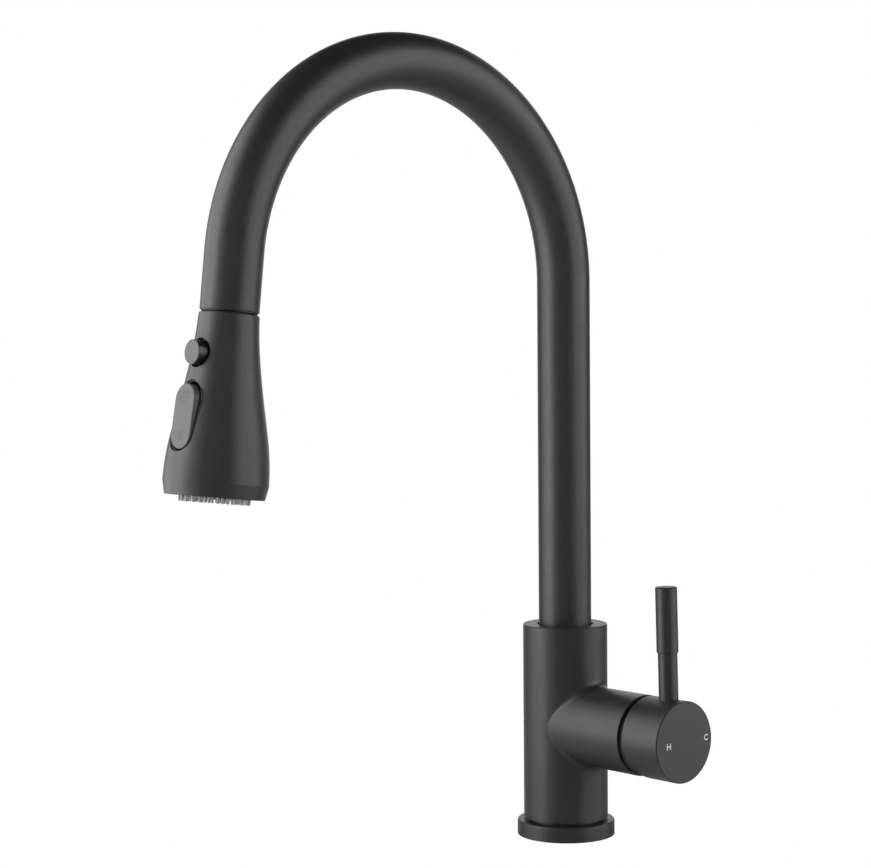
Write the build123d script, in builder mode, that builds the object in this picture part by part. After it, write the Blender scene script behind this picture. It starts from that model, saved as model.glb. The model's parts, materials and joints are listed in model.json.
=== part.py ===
from build123d import *
import os
from math import cos, pi, radians, sin, sqrt

# Pull-down kitchen faucet: gooseneck spout, side lever, spray head with a pause button and a rocker.
# Row frame in millimetres: +Z up, origin at the centre of the base on the deck. The spout reaches
# towards -Y, and the valve branch with its lever stands out along +X.

os.makedirs("parts", exist_ok=True)

# ---------------------------------------------------------------- driving dimensions
FLANGE_R = 26.0
FLANGE_H = 8.0
SHADOW_GAP = 1.5            # open groove between the flange and the body
NECK_R = 20.0               # insert seen inside that groove
SHANK_R = 17.0              # threaded bore for the mounting shank
PORT_FACE_Z = 15.0          # top of the shank bore, where the water ports open

BODY_R = 22.5
BODY_BOTTOM = FLANGE_H + SHADOW_GAP
BODY_TOP = 113.0
PASSAGE_R = 7.0             # hose passage through the body
CHAMBER_R = 17.2            # spout bearing chamber
CHAMBER_FLOOR = 84.0
LIP_Z = 109.5               # underside of the lip that keeps the spout in
LIP_R = 15.0

PORT_R = 4.0                # M8 water ports
PORT_DEPTH = 12.0
WATERWAY_R = 3.0
SUPPLY_XY = 8.5             # hot and cold ports stand at (+x, -y) and (+x, +y)
MIXED_X = 12.5              # mixed water port

VALVE_Z = 60.2              # axis of the valve branch
BRANCH_R = 21.0
BRANCH_END = 58.0
SADDLE_R = 4.0              # fillet between the branch and the body
CARTRIDGE_BORE_R = 17.6
SEAT_X = 20.0               # floor of the cartridge bore
PIVOT_X = 50.0              # the lever tilts about this point
SUPPLY_Z = VALVE_Z - 4.2    # height of the supply holes in the seat
MIXED_Z = VALVE_Z + 6.8     # height of the mixed water hole in the seat
DISC_SHIFT = 2.15           # the closed ceramic disc stands this far below the valve axis

TUBE_R = 14.0
TUBE_WALL = 1.2
ARC_R = 108.5
ARC_START_Z = 295.2
ARC_DEG = 173.46
NECK_LENGTH = 28.4          # straight tube between the arc and the seam
SEAM_HALF_GAP = 0.6

HOSE_R = 6.0
HOSE_BORE_R = 4.0
HOSE_START_Z = 30.0
HOSE_END_S = -28.3          # s runs down the spray head from the seam

SHELL_WALL = 2.0
SHELL_LENGTH = 86.2
SHELL_RIM_R = 23.4
SHELL_MAX_R = 24.8
SHELL_MAX_S = 79.5
PAUSE_S = 20.2
PAUSE_R = 5.8
PAUSE_FACE_Y = 19.6
ROCKER_S = 50.1
ROCKER_SIZE = (30.6, 15.0)
ROCKER_Y = 21.8
ROCKER_TILT = 3.3           # tilt of the rocker's face at rest
POCKET_TILT = 9.5           # slope of the shell around the rocker
POCKET_Y = 21.2
POCKET_S = 49.6             # puts the pocket's middle, and the pin, under the middle of the rocker
PIN_DEPTH = 5.0

HUB_R = 21.0
HUB_START = 60.7
HUB_END = 85.0
DOME_R = 20.8
HUB_CAVITY_R = 21.3
LEVER_X = 74.5
LEVER_Z = 76.0
LEVER_LEAN = 1.6
ROD_R = 5.0
GRIP_R = 5.6
GRIP_START = 29.0           # measured along the lever from its origin
GRIP_END = 62.7

# ---------------------------------------------------------------- planes and axes
turn = radians(ARC_DEG)
arc_end = Vector(0, -ARC_R * (1 - cos(turn)), ARC_START_Z + ARC_R * sin(turn))
outlet = Vector(0, -sin(turn), cos(turn))
seam = arc_end + outlet * NECK_LENGTH
across = Vector(1, 0, 0)
front = outlet.cross(across)

HEAD = Plane(origin=seam, x_dir=across, z_dir=outlet)
HEAD_SECTION = Plane(origin=seam, x_dir=across, z_dir=across.cross(outlet))
HEAD_AXIS = Axis(seam, outlet)
COLUMN_SECTION = Plane.XZ
pivot = Vector(PIVOT_X, 0, VALVE_Z)
VALVE_SECTION = Plane(origin=(0, 0, VALVE_Z), x_dir=(0, 0, 1), z_dir=(0, 1, 0))
VALVE_AXIS = Axis((0, 0, VALVE_Z), (1, 0, 0))
lean = radians(LEVER_LEAN)
LEVER = Plane(origin=(LEVER_X, 0, LEVER_Z), x_dir=(cos(lean), 0, sin(lean)),
              z_dir=(-sin(lean), 0, cos(lean)))
LEVER_SECTION = Plane(origin=LEVER.origin, x_dir=LEVER.x_dir, z_dir=LEVER.x_dir.cross(LEVER.z_dir))
LEVER_AXIS = Axis(LEVER.origin, LEVER.z_dir)


def section(plane, points):
    """A closed outline on a plane, as (radius, height) pairs for a turned piece."""
    with BuildSketch(plane) as outline:
        with BuildLine():
            Polyline(points, close=True)
        make_face()
    return outline.sketch


def ring(plane, inner, outer, low, high):
    """The outline of a plain ring."""
    return section(plane, [(inner, low), (outer, low), (outer, high), (inner, high)])


def head_point(y, s, x=0.0):
    """A point of the spray head: y towards its front, s down from the seam."""
    return seam + across * x + front * y + outlet * s


def head_plane(y, s, tilt=0.0):
    """A plane that faces the front of the spray head, with its x along the head."""
    angle = radians(tilt)
    normal = front * cos(angle) - outlet * sin(angle)
    along = front * sin(angle) + outlet * cos(angle)
    return Plane(origin=head_point(y, s), x_dir=along, z_dir=normal)


def pivot_radius(ball, x):
    """Radius about the valve axis of a ball round the lever's pivot, where it is cut at x."""
    return sqrt(ball ** 2 - (x - PIVOT_X) ** 2)


def valve_plane(x):
    """A plane across the valve axis that faces +X; its local x is row Y and its local y is row Z."""
    return Plane(origin=(x, 0, VALVE_Z), x_dir=(0, 1, 0), z_dir=(1, 0, 0))


# ---------------------------------------------------------------- base
with BuildPart() as base_insert:
    revolve(section(COLUMN_SECTION, [(SHANK_R, 0), (NECK_R, 0), (NECK_R, BODY_BOTTOM),
                                     (NECK_R - 0.5, BODY_BOTTOM), (NECK_R - 0.5, PORT_FACE_Z),
                                     (SHANK_R, PORT_FACE_Z)]), axis=Axis.Z)
base_insert.part.label = "base_insert"
export_step(base_insert.part, "parts/base_insert.step")

GASKET_R = (22.0, 24.6)
GASKET_H = 1.6
with BuildPart() as base_flange:
    revolve(ring(COLUMN_SECTION, NECK_R + 0.1, FLANGE_R, 0, FLANGE_H), axis=Axis.Z)
    top_edges = base_flange.edges().filter_by(GeomType.CIRCLE).group_by(Axis.Z)[-1]
    fillet(top_edges.sort_by(SortBy.RADIUS)[-1], 1.0)
    revolve(ring(COLUMN_SECTION, GASKET_R[0] - 0.1, GASKET_R[1] + 0.1, 0, GASKET_H), axis=Axis.Z,
            mode=Mode.SUBTRACT)
base_flange.part.label = "base_flange"
export_step(base_flange.part, "parts/base_flange.step")

with BuildPart() as base_gasket:
    revolve(ring(COLUMN_SECTION, GASKET_R[0], GASKET_R[1], 0, GASKET_H), axis=Axis.Z)
base_gasket.part.label = "base_gasket"
export_step(base_gasket.part, "parts/base_gasket.step")

# ---------------------------------------------------------------- body casting with its waterways
SCREW_Z = 103.5
SCREW_R = 2.4
supply_points = [(SUPPLY_XY, -SUPPLY_XY), (SUPPLY_XY, SUPPLY_XY)]
port_points = supply_points + [(MIXED_X, 0)]
with BuildPart() as faucet_body:
    with BuildSketch(Plane.XY.offset(BODY_BOTTOM)):
        Circle(BODY_R)
    extrude(amount=BODY_TOP - BODY_BOTTOM)
    with BuildSketch(valve_plane(0)):
        Circle(BRANCH_R)
    extrude(amount=BRANCH_END)
    fillet(faucet_body.edges().filter_by(GeomType.BSPLINE), SADDLE_R)
    chamfer(faucet_body.edges().filter_by(GeomType.CIRCLE).group_by(Axis.Z)[-1], 0.35)
    chamfer(faucet_body.edges().filter_by(GeomType.CIRCLE).group_by(Axis.X)[-1], 0.3)
    revolve(section(COLUMN_SECTION, [(0, BODY_BOTTOM), (NECK_R - 0.5, BODY_BOTTOM),
                                     (NECK_R - 0.5, PORT_FACE_Z), (PASSAGE_R, PORT_FACE_Z),
                                     (PASSAGE_R, CHAMBER_FLOOR), (CHAMBER_R, CHAMBER_FLOOR),
                                     (CHAMBER_R, LIP_Z), (LIP_R, LIP_Z), (LIP_R, BODY_TOP),
                                     (0, BODY_TOP)]), axis=Axis.Z, mode=Mode.SUBTRACT)
    with BuildSketch(valve_plane(SEAT_X)):
        Circle(CARTRIDGE_BORE_R)
    extrude(amount=BRANCH_END - SEAT_X, mode=Mode.SUBTRACT)
    with BuildSketch(Plane.XY.offset(PORT_FACE_Z)):
        with Locations(*port_points):
            Circle(PORT_R)
    extrude(amount=PORT_DEPTH, mode=Mode.SUBTRACT)
    with BuildSketch(Plane.XY.offset(PORT_FACE_Z)):
        with Locations(*supply_points):
            Circle(WATERWAY_R)
    extrude(amount=SUPPLY_Z + WATERWAY_R - PORT_FACE_Z, mode=Mode.SUBTRACT)
    with BuildSketch(Plane.XY.offset(PORT_FACE_Z)):
        with Locations((MIXED_X, 0)):
            Circle(WATERWAY_R)
    extrude(amount=MIXED_Z + WATERWAY_R - PORT_FACE_Z, mode=Mode.SUBTRACT)
    with BuildSketch(valve_plane(SUPPLY_XY)):
        with Locations((-SUPPLY_XY, SUPPLY_Z - VALVE_Z), (SUPPLY_XY, SUPPLY_Z - VALVE_Z)):
            Circle(WATERWAY_R)
    extrude(amount=SEAT_X - SUPPLY_XY, mode=Mode.SUBTRACT)
    with BuildSketch(valve_plane(MIXED_X)):
        with Locations((0, MIXED_Z - VALVE_Z)):
            Circle(WATERWAY_R)
    extrude(amount=SEAT_X - MIXED_X, mode=Mode.SUBTRACT)
    with BuildSketch(Plane(origin=(0, CHAMBER_R - 1, SCREW_Z), x_dir=(1, 0, 0), z_dir=(0, 1, 0))):
        Circle(SCREW_R)
    extrude(amount=BODY_R, mode=Mode.SUBTRACT)
faucet_body.part.label = "faucet_body"
export_step(faucet_body.part, "parts/faucet_body.step")

# Grub screw from the back, whose tip runs in the groove of the spout foot.
SCREW_TIP_Y = 15.6
with BuildPart() as spout_screw:
    with BuildSketch(Plane(origin=(0, SCREW_TIP_Y, SCREW_Z), x_dir=(1, 0, 0), z_dir=(0, 1, 0))):
        Circle(SCREW_R - 0.02)
    extrude(amount=BODY_R - 0.5 - SCREW_TIP_Y)
    with BuildSketch(Plane(origin=(0, BODY_R - 0.5, SCREW_Z), x_dir=(1, 0, 0), z_dir=(0, -1, 0))):
        RegularPolygon(radius=1.4, side_count=6)
    extrude(amount=2.5, mode=Mode.SUBTRACT)
spout_screw.part.label = "spout_screw"
export_step(spout_screw.part, "parts/spout_screw.step")

# ---------------------------------------------------------------- spout bearing
FOOT_BOTTOM = 85.2
FOOT_LEDGE = 87.2
FOOT_TOP = 109.0
FOOT_R = 16.4
GROOVE_R = 15.2
glide_spans = [(87.5, 91.5), (96.5, 100.0)]
SEAL_Z = 94.2
seal_half = 1.1
screw_groove = (SCREW_Z - 2.7, SCREW_Z + 2.7)
with BuildPart() as spout_foot:
    revolve(section(COLUMN_SECTION, [(TUBE_R - TUBE_WALL, FOOT_BOTTOM), (FOOT_R, FOOT_BOTTOM),
                                     (FOOT_R, FOOT_TOP),
                                     (TUBE_R + 0.02, FOOT_TOP),
                                     (TUBE_R + 0.02, FOOT_LEDGE), (TUBE_R - TUBE_WALL, FOOT_LEDGE)]),
            axis=Axis.Z)
    for low, high in glide_spans + [(SEAL_Z - seal_half, SEAL_Z + seal_half), screw_groove]:
        revolve(ring(COLUMN_SECTION, GROOVE_R, FOOT_R + 1, low, high), axis=Axis.Z, mode=Mode.SUBTRACT)
spout_foot.part.label = "spout_foot"
export_step(spout_foot.part, "parts/spout_foot.step")

with BuildPart() as glide_rings:
    for low, high in glide_spans:
        revolve(ring(COLUMN_SECTION, GROOVE_R + 0.05, CHAMBER_R - 0.08, low + 0.05, high - 0.05),
                axis=Axis.Z)
glide_rings.part.label = "glide_rings"
export_step(glide_rings.part, "parts/glide_rings.step")

SEAL_WIRE = 0.92
with BuildPart() as spout_seal:
    with Locations((0, 0, SEAL_Z)):
        Torus(CHAMBER_R - 0.08 - SEAL_WIRE, SEAL_WIRE)
spout_seal.part.label = "spout_seal"
export_step(spout_seal.part, "parts/spout_seal.step")

with BuildPart() as thrust_washer:
    revolve(ring(COLUMN_SECTION, 11.0, CHAMBER_R - 0.2, CHAMBER_FLOOR + 0.05, FOOT_BOTTOM), axis=Axis.Z)
thrust_washer.part.label = "thrust_washer"
export_step(thrust_washer.part, "parts/thrust_washer.step")

# ---------------------------------------------------------------- spout tube
with BuildPart() as spout_tube:
    with BuildLine(Plane.YZ) as spout_route:
        column = Line((0, FOOT_LEDGE), (0, ARC_START_Z))
        gooseneck = JernArc(column @ 1, column % 1, ARC_R, ARC_DEG)
        Line(gooseneck @ 1, gooseneck @ 1 + (gooseneck % 1) * (NECK_LENGTH - SEAM_HALF_GAP))
    with BuildSketch(Plane.XY.offset(FOOT_LEDGE)):
        Circle(TUBE_R)
        Circle(TUBE_R - TUBE_WALL, mode=Mode.SUBTRACT)
    sweep(path=spout_route.wires()[0])
spout_tube.part.label = "spout_tube"
export_step(spout_tube.part, "parts/spout_tube.step")

# Docking collar pressed into the spout's mouth; its flange shows as a thin ring in the seam.
COLLAR_BORE_R = 11.3
with BuildPart() as dock_collar:
    revolve(section(HEAD_SECTION, [(COLLAR_BORE_R, -14), (TUBE_R - TUBE_WALL - 0.05, -14),
                                   (TUBE_R - TUBE_WALL - 0.05, -SEAM_HALF_GAP), (13.3, -SEAM_HALF_GAP),
                                   (13.3, 0), (COLLAR_BORE_R + 0.6, 0), (COLLAR_BORE_R, -1.5)]),
            axis=HEAD_AXIS)
dock_collar.part.label = "dock_collar"
export_step(dock_collar.part, "parts/dock_collar.step")

# ---------------------------------------------------------------- spray hose and its ends
with BuildPart() as spray_hose:
    with BuildLine(Plane.YZ) as hose_route:
        riser = Line((0, HOSE_START_Z), (0, ARC_START_Z))
        bend = JernArc(riser @ 1, riser % 1, ARC_R, ARC_DEG)
        Line(bend @ 1, bend @ 1 + (bend % 1) * (NECK_LENGTH + HOSE_END_S))
    with BuildSketch(Plane.XY.offset(HOSE_START_Z)):
        Circle(HOSE_R)
        Circle(HOSE_BORE_R, mode=Mode.SUBTRACT)
    sweep(path=hose_route.wires()[0])
spray_hose.part.label = "spray_hose"
export_step(spray_hose.part, "parts/spray_hose.step")

FERRULE_LENGTH = 14.0
with BuildPart() as hose_ferrule_lower:
    revolve(ring(COLUMN_SECTION, HOSE_R + 0.05, 6.7, HOSE_START_Z, HOSE_START_Z + FERRULE_LENGTH),
            axis=Axis.Z)
hose_ferrule_lower.part.label = "hose_ferrule_lower"
export_step(hose_ferrule_lower.part, "parts/hose_ferrule_lower.step")

TAIL_BOTTOM = 16.0
BARB_R = 3.9
TAIL_BORE_R = 2.8
with BuildPart() as hose_tail:
    revolve(section(COLUMN_SECTION, [(TAIL_BORE_R, TAIL_BOTTOM), (4.2, TAIL_BOTTOM),
                                     (4.6, TAIL_BOTTOM + 0.6),
                                     (4.6, 20), (3.9, 20), (3.9, 22), (4.6, 22), (4.6, 26), (6.4, 26),
                                     (6.4, HOSE_START_Z - 0.1), (BARB_R, HOSE_START_Z - 0.1),
                                     (BARB_R, 42), (TAIL_BORE_R, 42)]), axis=Axis.Z)
hose_tail.part.label = "hose_tail"
export_step(hose_tail.part, "parts/hose_tail.step")

FERRULE_TOP = -28.0
FERRULE_BOTTOM = -17.2
with BuildPart() as hose_ferrule_upper:
    revolve(section(HEAD_SECTION, [(4.05, FERRULE_TOP), (7.0, FERRULE_TOP), (7.0, -25.2), (6.6, -24.8),
                                   (6.6, -20.6), (7.0, -20.2), (7.0, FERRULE_BOTTOM),
                                   (4.05, FERRULE_BOTTOM)]),
            axis=HEAD_AXIS)
hose_ferrule_upper.part.label = "hose_ferrule_upper"
export_step(hose_ferrule_upper.part, "parts/hose_ferrule_upper.step")

# Swivel nipple: its flange turns inside the conical nut.
with BuildPart() as hose_nipple:
    revolve(section(HEAD_SECTION, [(TAIL_BORE_R, FERRULE_TOP + 1), (4.0, FERRULE_TOP + 1), (4.0, -9),
                                   (6.0, -9),
                                   (6.0, -7), (5.2, -7), (5.2, -5.4), (4.2, -5.4), (4.2, -3.4), (5.2, -3.4),
                                   (5.2, -2), (TAIL_BORE_R, -2)]), axis=HEAD_AXIS)
hose_nipple.part.label = "hose_nipple"
export_step(hose_nipple.part, "parts/hose_nipple.step")

with BuildPart() as swivel_seal:
    revolve(section(HEAD_SECTION, [(4.25, -5.0), (4.6, -5.3), (5.7, -5.3), (6.02, -5.0), (6.02, -3.8),
                                   (5.7, -3.5), (4.6, -3.5), (4.25, -3.8)]), axis=HEAD_AXIS)
swivel_seal.part.label = "swivel_seal"
export_step(swivel_seal.part, "parts/swivel_seal.step")

# Conical nut on the hose end, screwed into the neck of the spray head.
THREAD_R = 8.45
NUT_TOP = -16.9
SWIVEL_BORE_R = 6.1
WASHER_TOP = 4.2
with BuildPart() as conical_nut:
    revolve(section(HEAD_SECTION, [(4.08, NUT_TOP), (7.6, NUT_TOP), (10.4, -13), (10.4, -10.1),
                                   (THREAD_R, -10.1),
                                   (THREAD_R, WASHER_TOP), (SWIVEL_BORE_R, WASHER_TOP),
                                   (SWIVEL_BORE_R, -9.1),
                                   (4.08, -9.1)]), axis=HEAD_AXIS)
conical_nut.part.label = "conical_nut"
export_step(conical_nut.part, "parts/conical_nut.step")

SOCKET_FLOOR = 6.2
with BuildPart() as filter_washer:
    revolve(ring(HEAD_SECTION, 4.5, THREAD_R - 0.05, WASHER_TOP, SOCKET_FLOOR), axis=HEAD_AXIS)
    revolve(ring(HEAD_SECTION, 0, 4.6, WASHER_TOP + 0.7, WASHER_TOP + 1.3), axis=HEAD_AXIS)
    with BuildSketch(HEAD.offset(WASHER_TOP)):
        with GridLocations(1.5, 1.5, 5, 5):
            Circle(0.4)
    extrude(amount=2, mode=Mode.SUBTRACT)
filter_washer.part.label = "filter_washer"
export_step(filter_washer.part, "parts/filter_washer.step")

# ---------------------------------------------------------------- spray head core
CORE_R = 11.8
NECK_TOP = -10.0
NECK_OUTER_R = 11.0
VALVE_POCKET_R = 5.0
VALVE_POCKET_END = 16.4
DUCT_R = 3.6
SPOOL_BORE_R = 6.5
SPOOL_SPAN = (44.0, 62.0)
CORE_FLANGE_R = 19.4
CORE_FLANGE = (67.5, 71.5)
POCKET = head_plane(POCKET_Y, POCKET_S, POCKET_TILT)
ROCKER = head_plane(ROCKER_Y, ROCKER_S, ROCKER_TILT)
rocker_pin_point = POCKET.origin - POCKET.z_dir * PIN_DEPTH
TRAY_FLOOR = 9.4            # outer floor of the tray, below the shell's surface
TRAY_SIZE = (34.1, 17.2)
WELL_FLOOR_Y = 8.0
SPRING_FLOOR_Y = 5.0
SPRING_WELL_R = 3.6
with BuildPart() as sprayer_core:
    revolve(section(HEAD_SECTION, [(THREAD_R + 0.05, NECK_TOP), (NECK_OUTER_R, NECK_TOP),
                                   (NECK_OUTER_R, 2.9),
                                   (CORE_R, 2.9), (CORE_R, 60), (CORE_FLANGE_R, CORE_FLANGE[0]),
                                   (CORE_FLANGE_R, CORE_FLANGE[1]), (9.4, CORE_FLANGE[1]), (9.4, 80.6),
                                   (8.4, 80.6),
                                   (8.4, CORE_FLANGE[1]), (DUCT_R, CORE_FLANGE[1]), (DUCT_R, SPOOL_SPAN[1]),
                                   (SPOOL_BORE_R, SPOOL_SPAN[1]), (SPOOL_BORE_R, SPOOL_SPAN[0]),
                                   (DUCT_R, SPOOL_SPAN[0]), (DUCT_R, VALVE_POCKET_END),
                                   (VALVE_POCKET_R, VALVE_POCKET_END), (VALVE_POCKET_R, SOCKET_FLOOR),
                                   (THREAD_R + 0.05, SOCKET_FLOOR)]), axis=HEAD_AXIS)
    with BuildSketch(head_plane(WELL_FLOOR_Y, PAUSE_S)):
        Circle(7.1)
    extrude(amount=10, mode=Mode.SUBTRACT)
    with BuildSketch(head_plane(SPRING_FLOOR_Y, PAUSE_S)):
        Circle(SPRING_WELL_R)
    extrude(amount=10, mode=Mode.SUBTRACT)
    with BuildSketch(head_plane(0, PAUSE_S)):
        Circle(1.3)
    extrude(amount=10, mode=Mode.SUBTRACT)
    with BuildSketch(POCKET.offset(-TRAY_FLOOR - 0.2)):
        SlotOverall(TRAY_SIZE[0] + 0.4, TRAY_SIZE[1] + 0.4)
    extrude(amount=14, mode=Mode.SUBTRACT)
    with BuildSketch(head_plane(2, 53.0)):
        Rectangle(8.5, 3.4)
    extrude(amount=12, mode=Mode.SUBTRACT)
    with BuildSketch(HEAD.offset(CORE_FLANGE[0] - 1)):
        with PolarLocations(14.5, 8):
            Circle(1.6)
    extrude(amount=8, mode=Mode.SUBTRACT)
sprayer_core.part.label = "sprayer_core"
export_step(sprayer_core.part, "parts/sprayer_core.step")

# Check valve that keeps water from running back into the hose.
with BuildPart() as check_valve_seat:
    revolve(section(HEAD_SECTION, [(2.4, 6.4), (4.9, 6.4), (4.9, 16.2), (3.0, 16.2), (3.0, 15.2),
                                   (4.1, 15.2),
                                   (4.1, 8.4), (2.4, 8.4)]), axis=HEAD_AXIS)
check_valve_seat.part.label = "check_valve_seat"
export_step(check_valve_seat.part, "parts/check_valve_seat.step")

with BuildPart() as check_valve_poppet:
    revolve(section(HEAD_SECTION, [(0, 7.2), (1.4, 7.2), (2.0, 8.45), (3.4, 8.45), (3.4, 9.6), (1.0, 9.6),
                                   (1.0, 14.6), (0, 14.6)]), axis=HEAD_AXIS)
check_valve_poppet.part.label = "check_valve_poppet"
export_step(check_valve_poppet.part, "parts/check_valve_poppet.step")

SPRING_WIRE = 0.25
with BuildPart() as check_valve_spring:
    with BuildLine():
        poppet_coil = Helix(1.05, 4.2, 3.35, center=HEAD.from_local_coords((0, 0, 10.1)), direction=outlet)
    with BuildSketch(Plane(origin=poppet_coil @ 0, z_dir=poppet_coil % 0)):
        Circle(SPRING_WIRE)
    sweep(path=poppet_coil)
check_valve_spring.part.label = "check_valve_spring"
export_step(check_valve_spring.part, "parts/check_valve_spring.step")

# ---------------------------------------------------------------- spray head shell
shell_curve = [(20.0, 15.9), (49.1, 21.0)]
PAUSE_HOLE_R = 7.0


def shell_outline(inset, top, bottom):
    """Half outline of the spray head's skin, moved in by the inset."""
    with BuildSketch(HEAD_SECTION) as outline:
        with BuildLine():
            flank = Spline((14.2 - inset, top), *[(r - inset, s) for s, r in shell_curve],
                           (SHELL_MAX_R - inset, SHELL_MAX_S), tangents=[(0.04, 1), (0.02, 1)])
            Polyline(flank @ 1, (SHELL_RIM_R - inset, bottom), (0, bottom), (0, top), flank @ 0)
        make_face()
    return outline.sketch


with BuildPart() as sprayer_shell:
    revolve(shell_outline(0, SEAM_HALF_GAP, SHELL_LENGTH), axis=HEAD_AXIS)
    fillet(sprayer_shell.edges().filter_by(GeomType.CIRCLE).sort_by(Axis.Z)[-1], 0.9)
    fillet(sprayer_shell.edges().filter_by(GeomType.CIRCLE).sort_by(Axis.Z)[0], 0.5)
    revolve(shell_outline(SHELL_WALL, SEAM_HALF_GAP + SHELL_WALL, SHELL_LENGTH + 1), axis=HEAD_AXIS,
            mode=Mode.SUBTRACT)
    revolve(ring(HEAD_SECTION, 0, NECK_OUTER_R + 0.05, 0, 5), axis=HEAD_AXIS, mode=Mode.SUBTRACT)
    with BuildSketch(head_plane(8, PAUSE_S)):
        Circle(PAUSE_HOLE_R)
    extrude(amount=14, mode=Mode.SUBTRACT)
    with BuildSketch(POCKET.offset(-TRAY_FLOOR)):
        SlotOverall(TRAY_SIZE[0] + 0.1, TRAY_SIZE[1] + 0.1)
    extrude(amount=16, mode=Mode.SUBTRACT)
sprayer_shell.part.label = "sprayer_shell"
export_step(sprayer_shell.part, "parts/sprayer_shell.step")

# ---------------------------------------------------------------- pause button
RING_Y = (11.3, 12.3)       # deep enough for the gap round the button to stay dark
with BuildPart() as pause_ring:
    with BuildSketch(head_plane(RING_Y[0], PAUSE_S)):
        Circle(PAUSE_HOLE_R - 0.05)
        Circle(PAUSE_R + 0.3, mode=Mode.SUBTRACT)
    extrude(amount=RING_Y[1] - RING_Y[0])
pause_ring.part.label = "pause_ring"
export_step(pause_ring.part, "parts/pause_ring.step")

BUTTON_BOTTOM_Y = 10.2
with BuildPart() as pause_button:
    with BuildSketch(head_plane(BUTTON_BOTTOM_Y, PAUSE_S)):
        Circle(PAUSE_R + 0.9)
    extrude(amount=0.8)
    with BuildSketch(head_plane(BUTTON_BOTTOM_Y, PAUSE_S)):
        Circle(PAUSE_R)
    extrude(amount=PAUSE_FACE_Y - BUTTON_BOTTOM_Y)
    fillet(pause_button.faces().sort_by(Axis(seam, front))[-1].edges(), 0.6)
    with BuildSketch(head_plane(BUTTON_BOTTOM_Y, PAUSE_S)):
        Circle(1.25)
    extrude(amount=3, mode=Mode.SUBTRACT)
pause_button.part.label = "pause_button"
export_step(pause_button.part, "parts/pause_button.step")

with BuildPart() as pause_plunger:
    with BuildSketch(head_plane(0, PAUSE_S)):
        Circle(2.3)
    extrude(amount=1.5)
    with BuildSketch(head_plane(0, PAUSE_S)):
        Circle(1.2)
    extrude(amount=BUTTON_BOTTOM_Y + 2.8)
pause_plunger.part.label = "pause_plunger"
export_step(pause_plunger.part, "parts/pause_plunger.step")

with BuildPart() as pause_spring:
    with BuildLine():
        pause_coil = Helix(1.1, 4.4, 2.4, center=head_point(SPRING_FLOOR_Y + 0.4, PAUSE_S), direction=front)
    with BuildSketch(Plane(origin=pause_coil @ 0, z_dir=pause_coil % 0)):
        Circle(SPRING_WIRE)
    sweep(path=pause_coil)
pause_spring.part.label = "pause_spring"
export_step(pause_spring.part, "parts/pause_spring.step")

# ---------------------------------------------------------------- mode rocker and diverter
TRAY_WALL = 0.6
TRAY_TOP = 1.6              # the tray's rim stands this far below the shell's surface
PIN_R = 1.0
PIN_HALF = 8.5
BARREL_HALF = 7.0
ARM_SLOT = (5.5, 3.0)
with BuildPart() as rocker_tray:
    with BuildSketch(POCKET.offset(-TRAY_FLOOR)):
        SlotOverall(*TRAY_SIZE)
    extrude(amount=TRAY_FLOOR - TRAY_TOP)
    with BuildSketch(POCKET.offset(-TRAY_FLOOR + TRAY_WALL)):
        SlotOverall(TRAY_SIZE[0] - 2 * TRAY_WALL, TRAY_SIZE[1] - 2 * TRAY_WALL)
    extrude(amount=TRAY_FLOOR, mode=Mode.SUBTRACT)
    with BuildSketch(POCKET.offset(-TRAY_FLOOR - 1)):
        Rectangle(*ARM_SLOT)
    extrude(amount=4, mode=Mode.SUBTRACT)
    with BuildSketch(Plane(origin=rocker_pin_point - across * PIN_HALF, z_dir=across)):
        Circle(PIN_R)
    extrude(amount=2 * PIN_HALF, mode=Mode.SUBTRACT)
rocker_tray.part.label = "rocker_tray"
export_step(rocker_tray.part, "parts/rocker_tray.step")

with BuildPart() as rocker_pin:
    with BuildSketch(Plane(origin=rocker_pin_point - across * PIN_HALF, z_dir=across)):
        Circle(PIN_R)
    extrude(amount=2 * PIN_HALF)
rocker_pin.part.label = "rocker_pin"
export_step(rocker_pin.part, "parts/rocker_pin.step")

ROCKER_THICKNESS = 3.6
ARM_LENGTH = 11.9
ARM_PLANE = Plane(origin=rocker_pin_point - ROCKER.z_dir * ARM_LENGTH, x_dir=ROCKER.x_dir,
                  z_dir=ROCKER.z_dir)
with BuildPart() as mode_rocker:
    with BuildSketch(ROCKER.offset(-ROCKER_THICKNESS)):
        SlotOverall(*ROCKER_SIZE)
    extrude(amount=ROCKER_THICKNESS)
    fillet(mode_rocker.faces().sort_by(Axis(seam, front))[-1].edges(), 0.6)
    with BuildSketch(Plane(origin=rocker_pin_point - across * BARREL_HALF, z_dir=across)):
        Circle(2.6)
    extrude(amount=2 * BARREL_HALF)
    with BuildSketch(ARM_PLANE):
        Circle(1.2)
    extrude(amount=ARM_LENGTH)
    with BuildSketch(Plane(origin=rocker_pin_point - across * PIN_HALF, z_dir=across)):
        Circle(PIN_R + 0.06)
    extrude(amount=2 * PIN_HALF, mode=Mode.SUBTRACT)
mode_rocker.part.label = "mode_rocker"
export_step(mode_rocker.part, "parts/mode_rocker.step")

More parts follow.
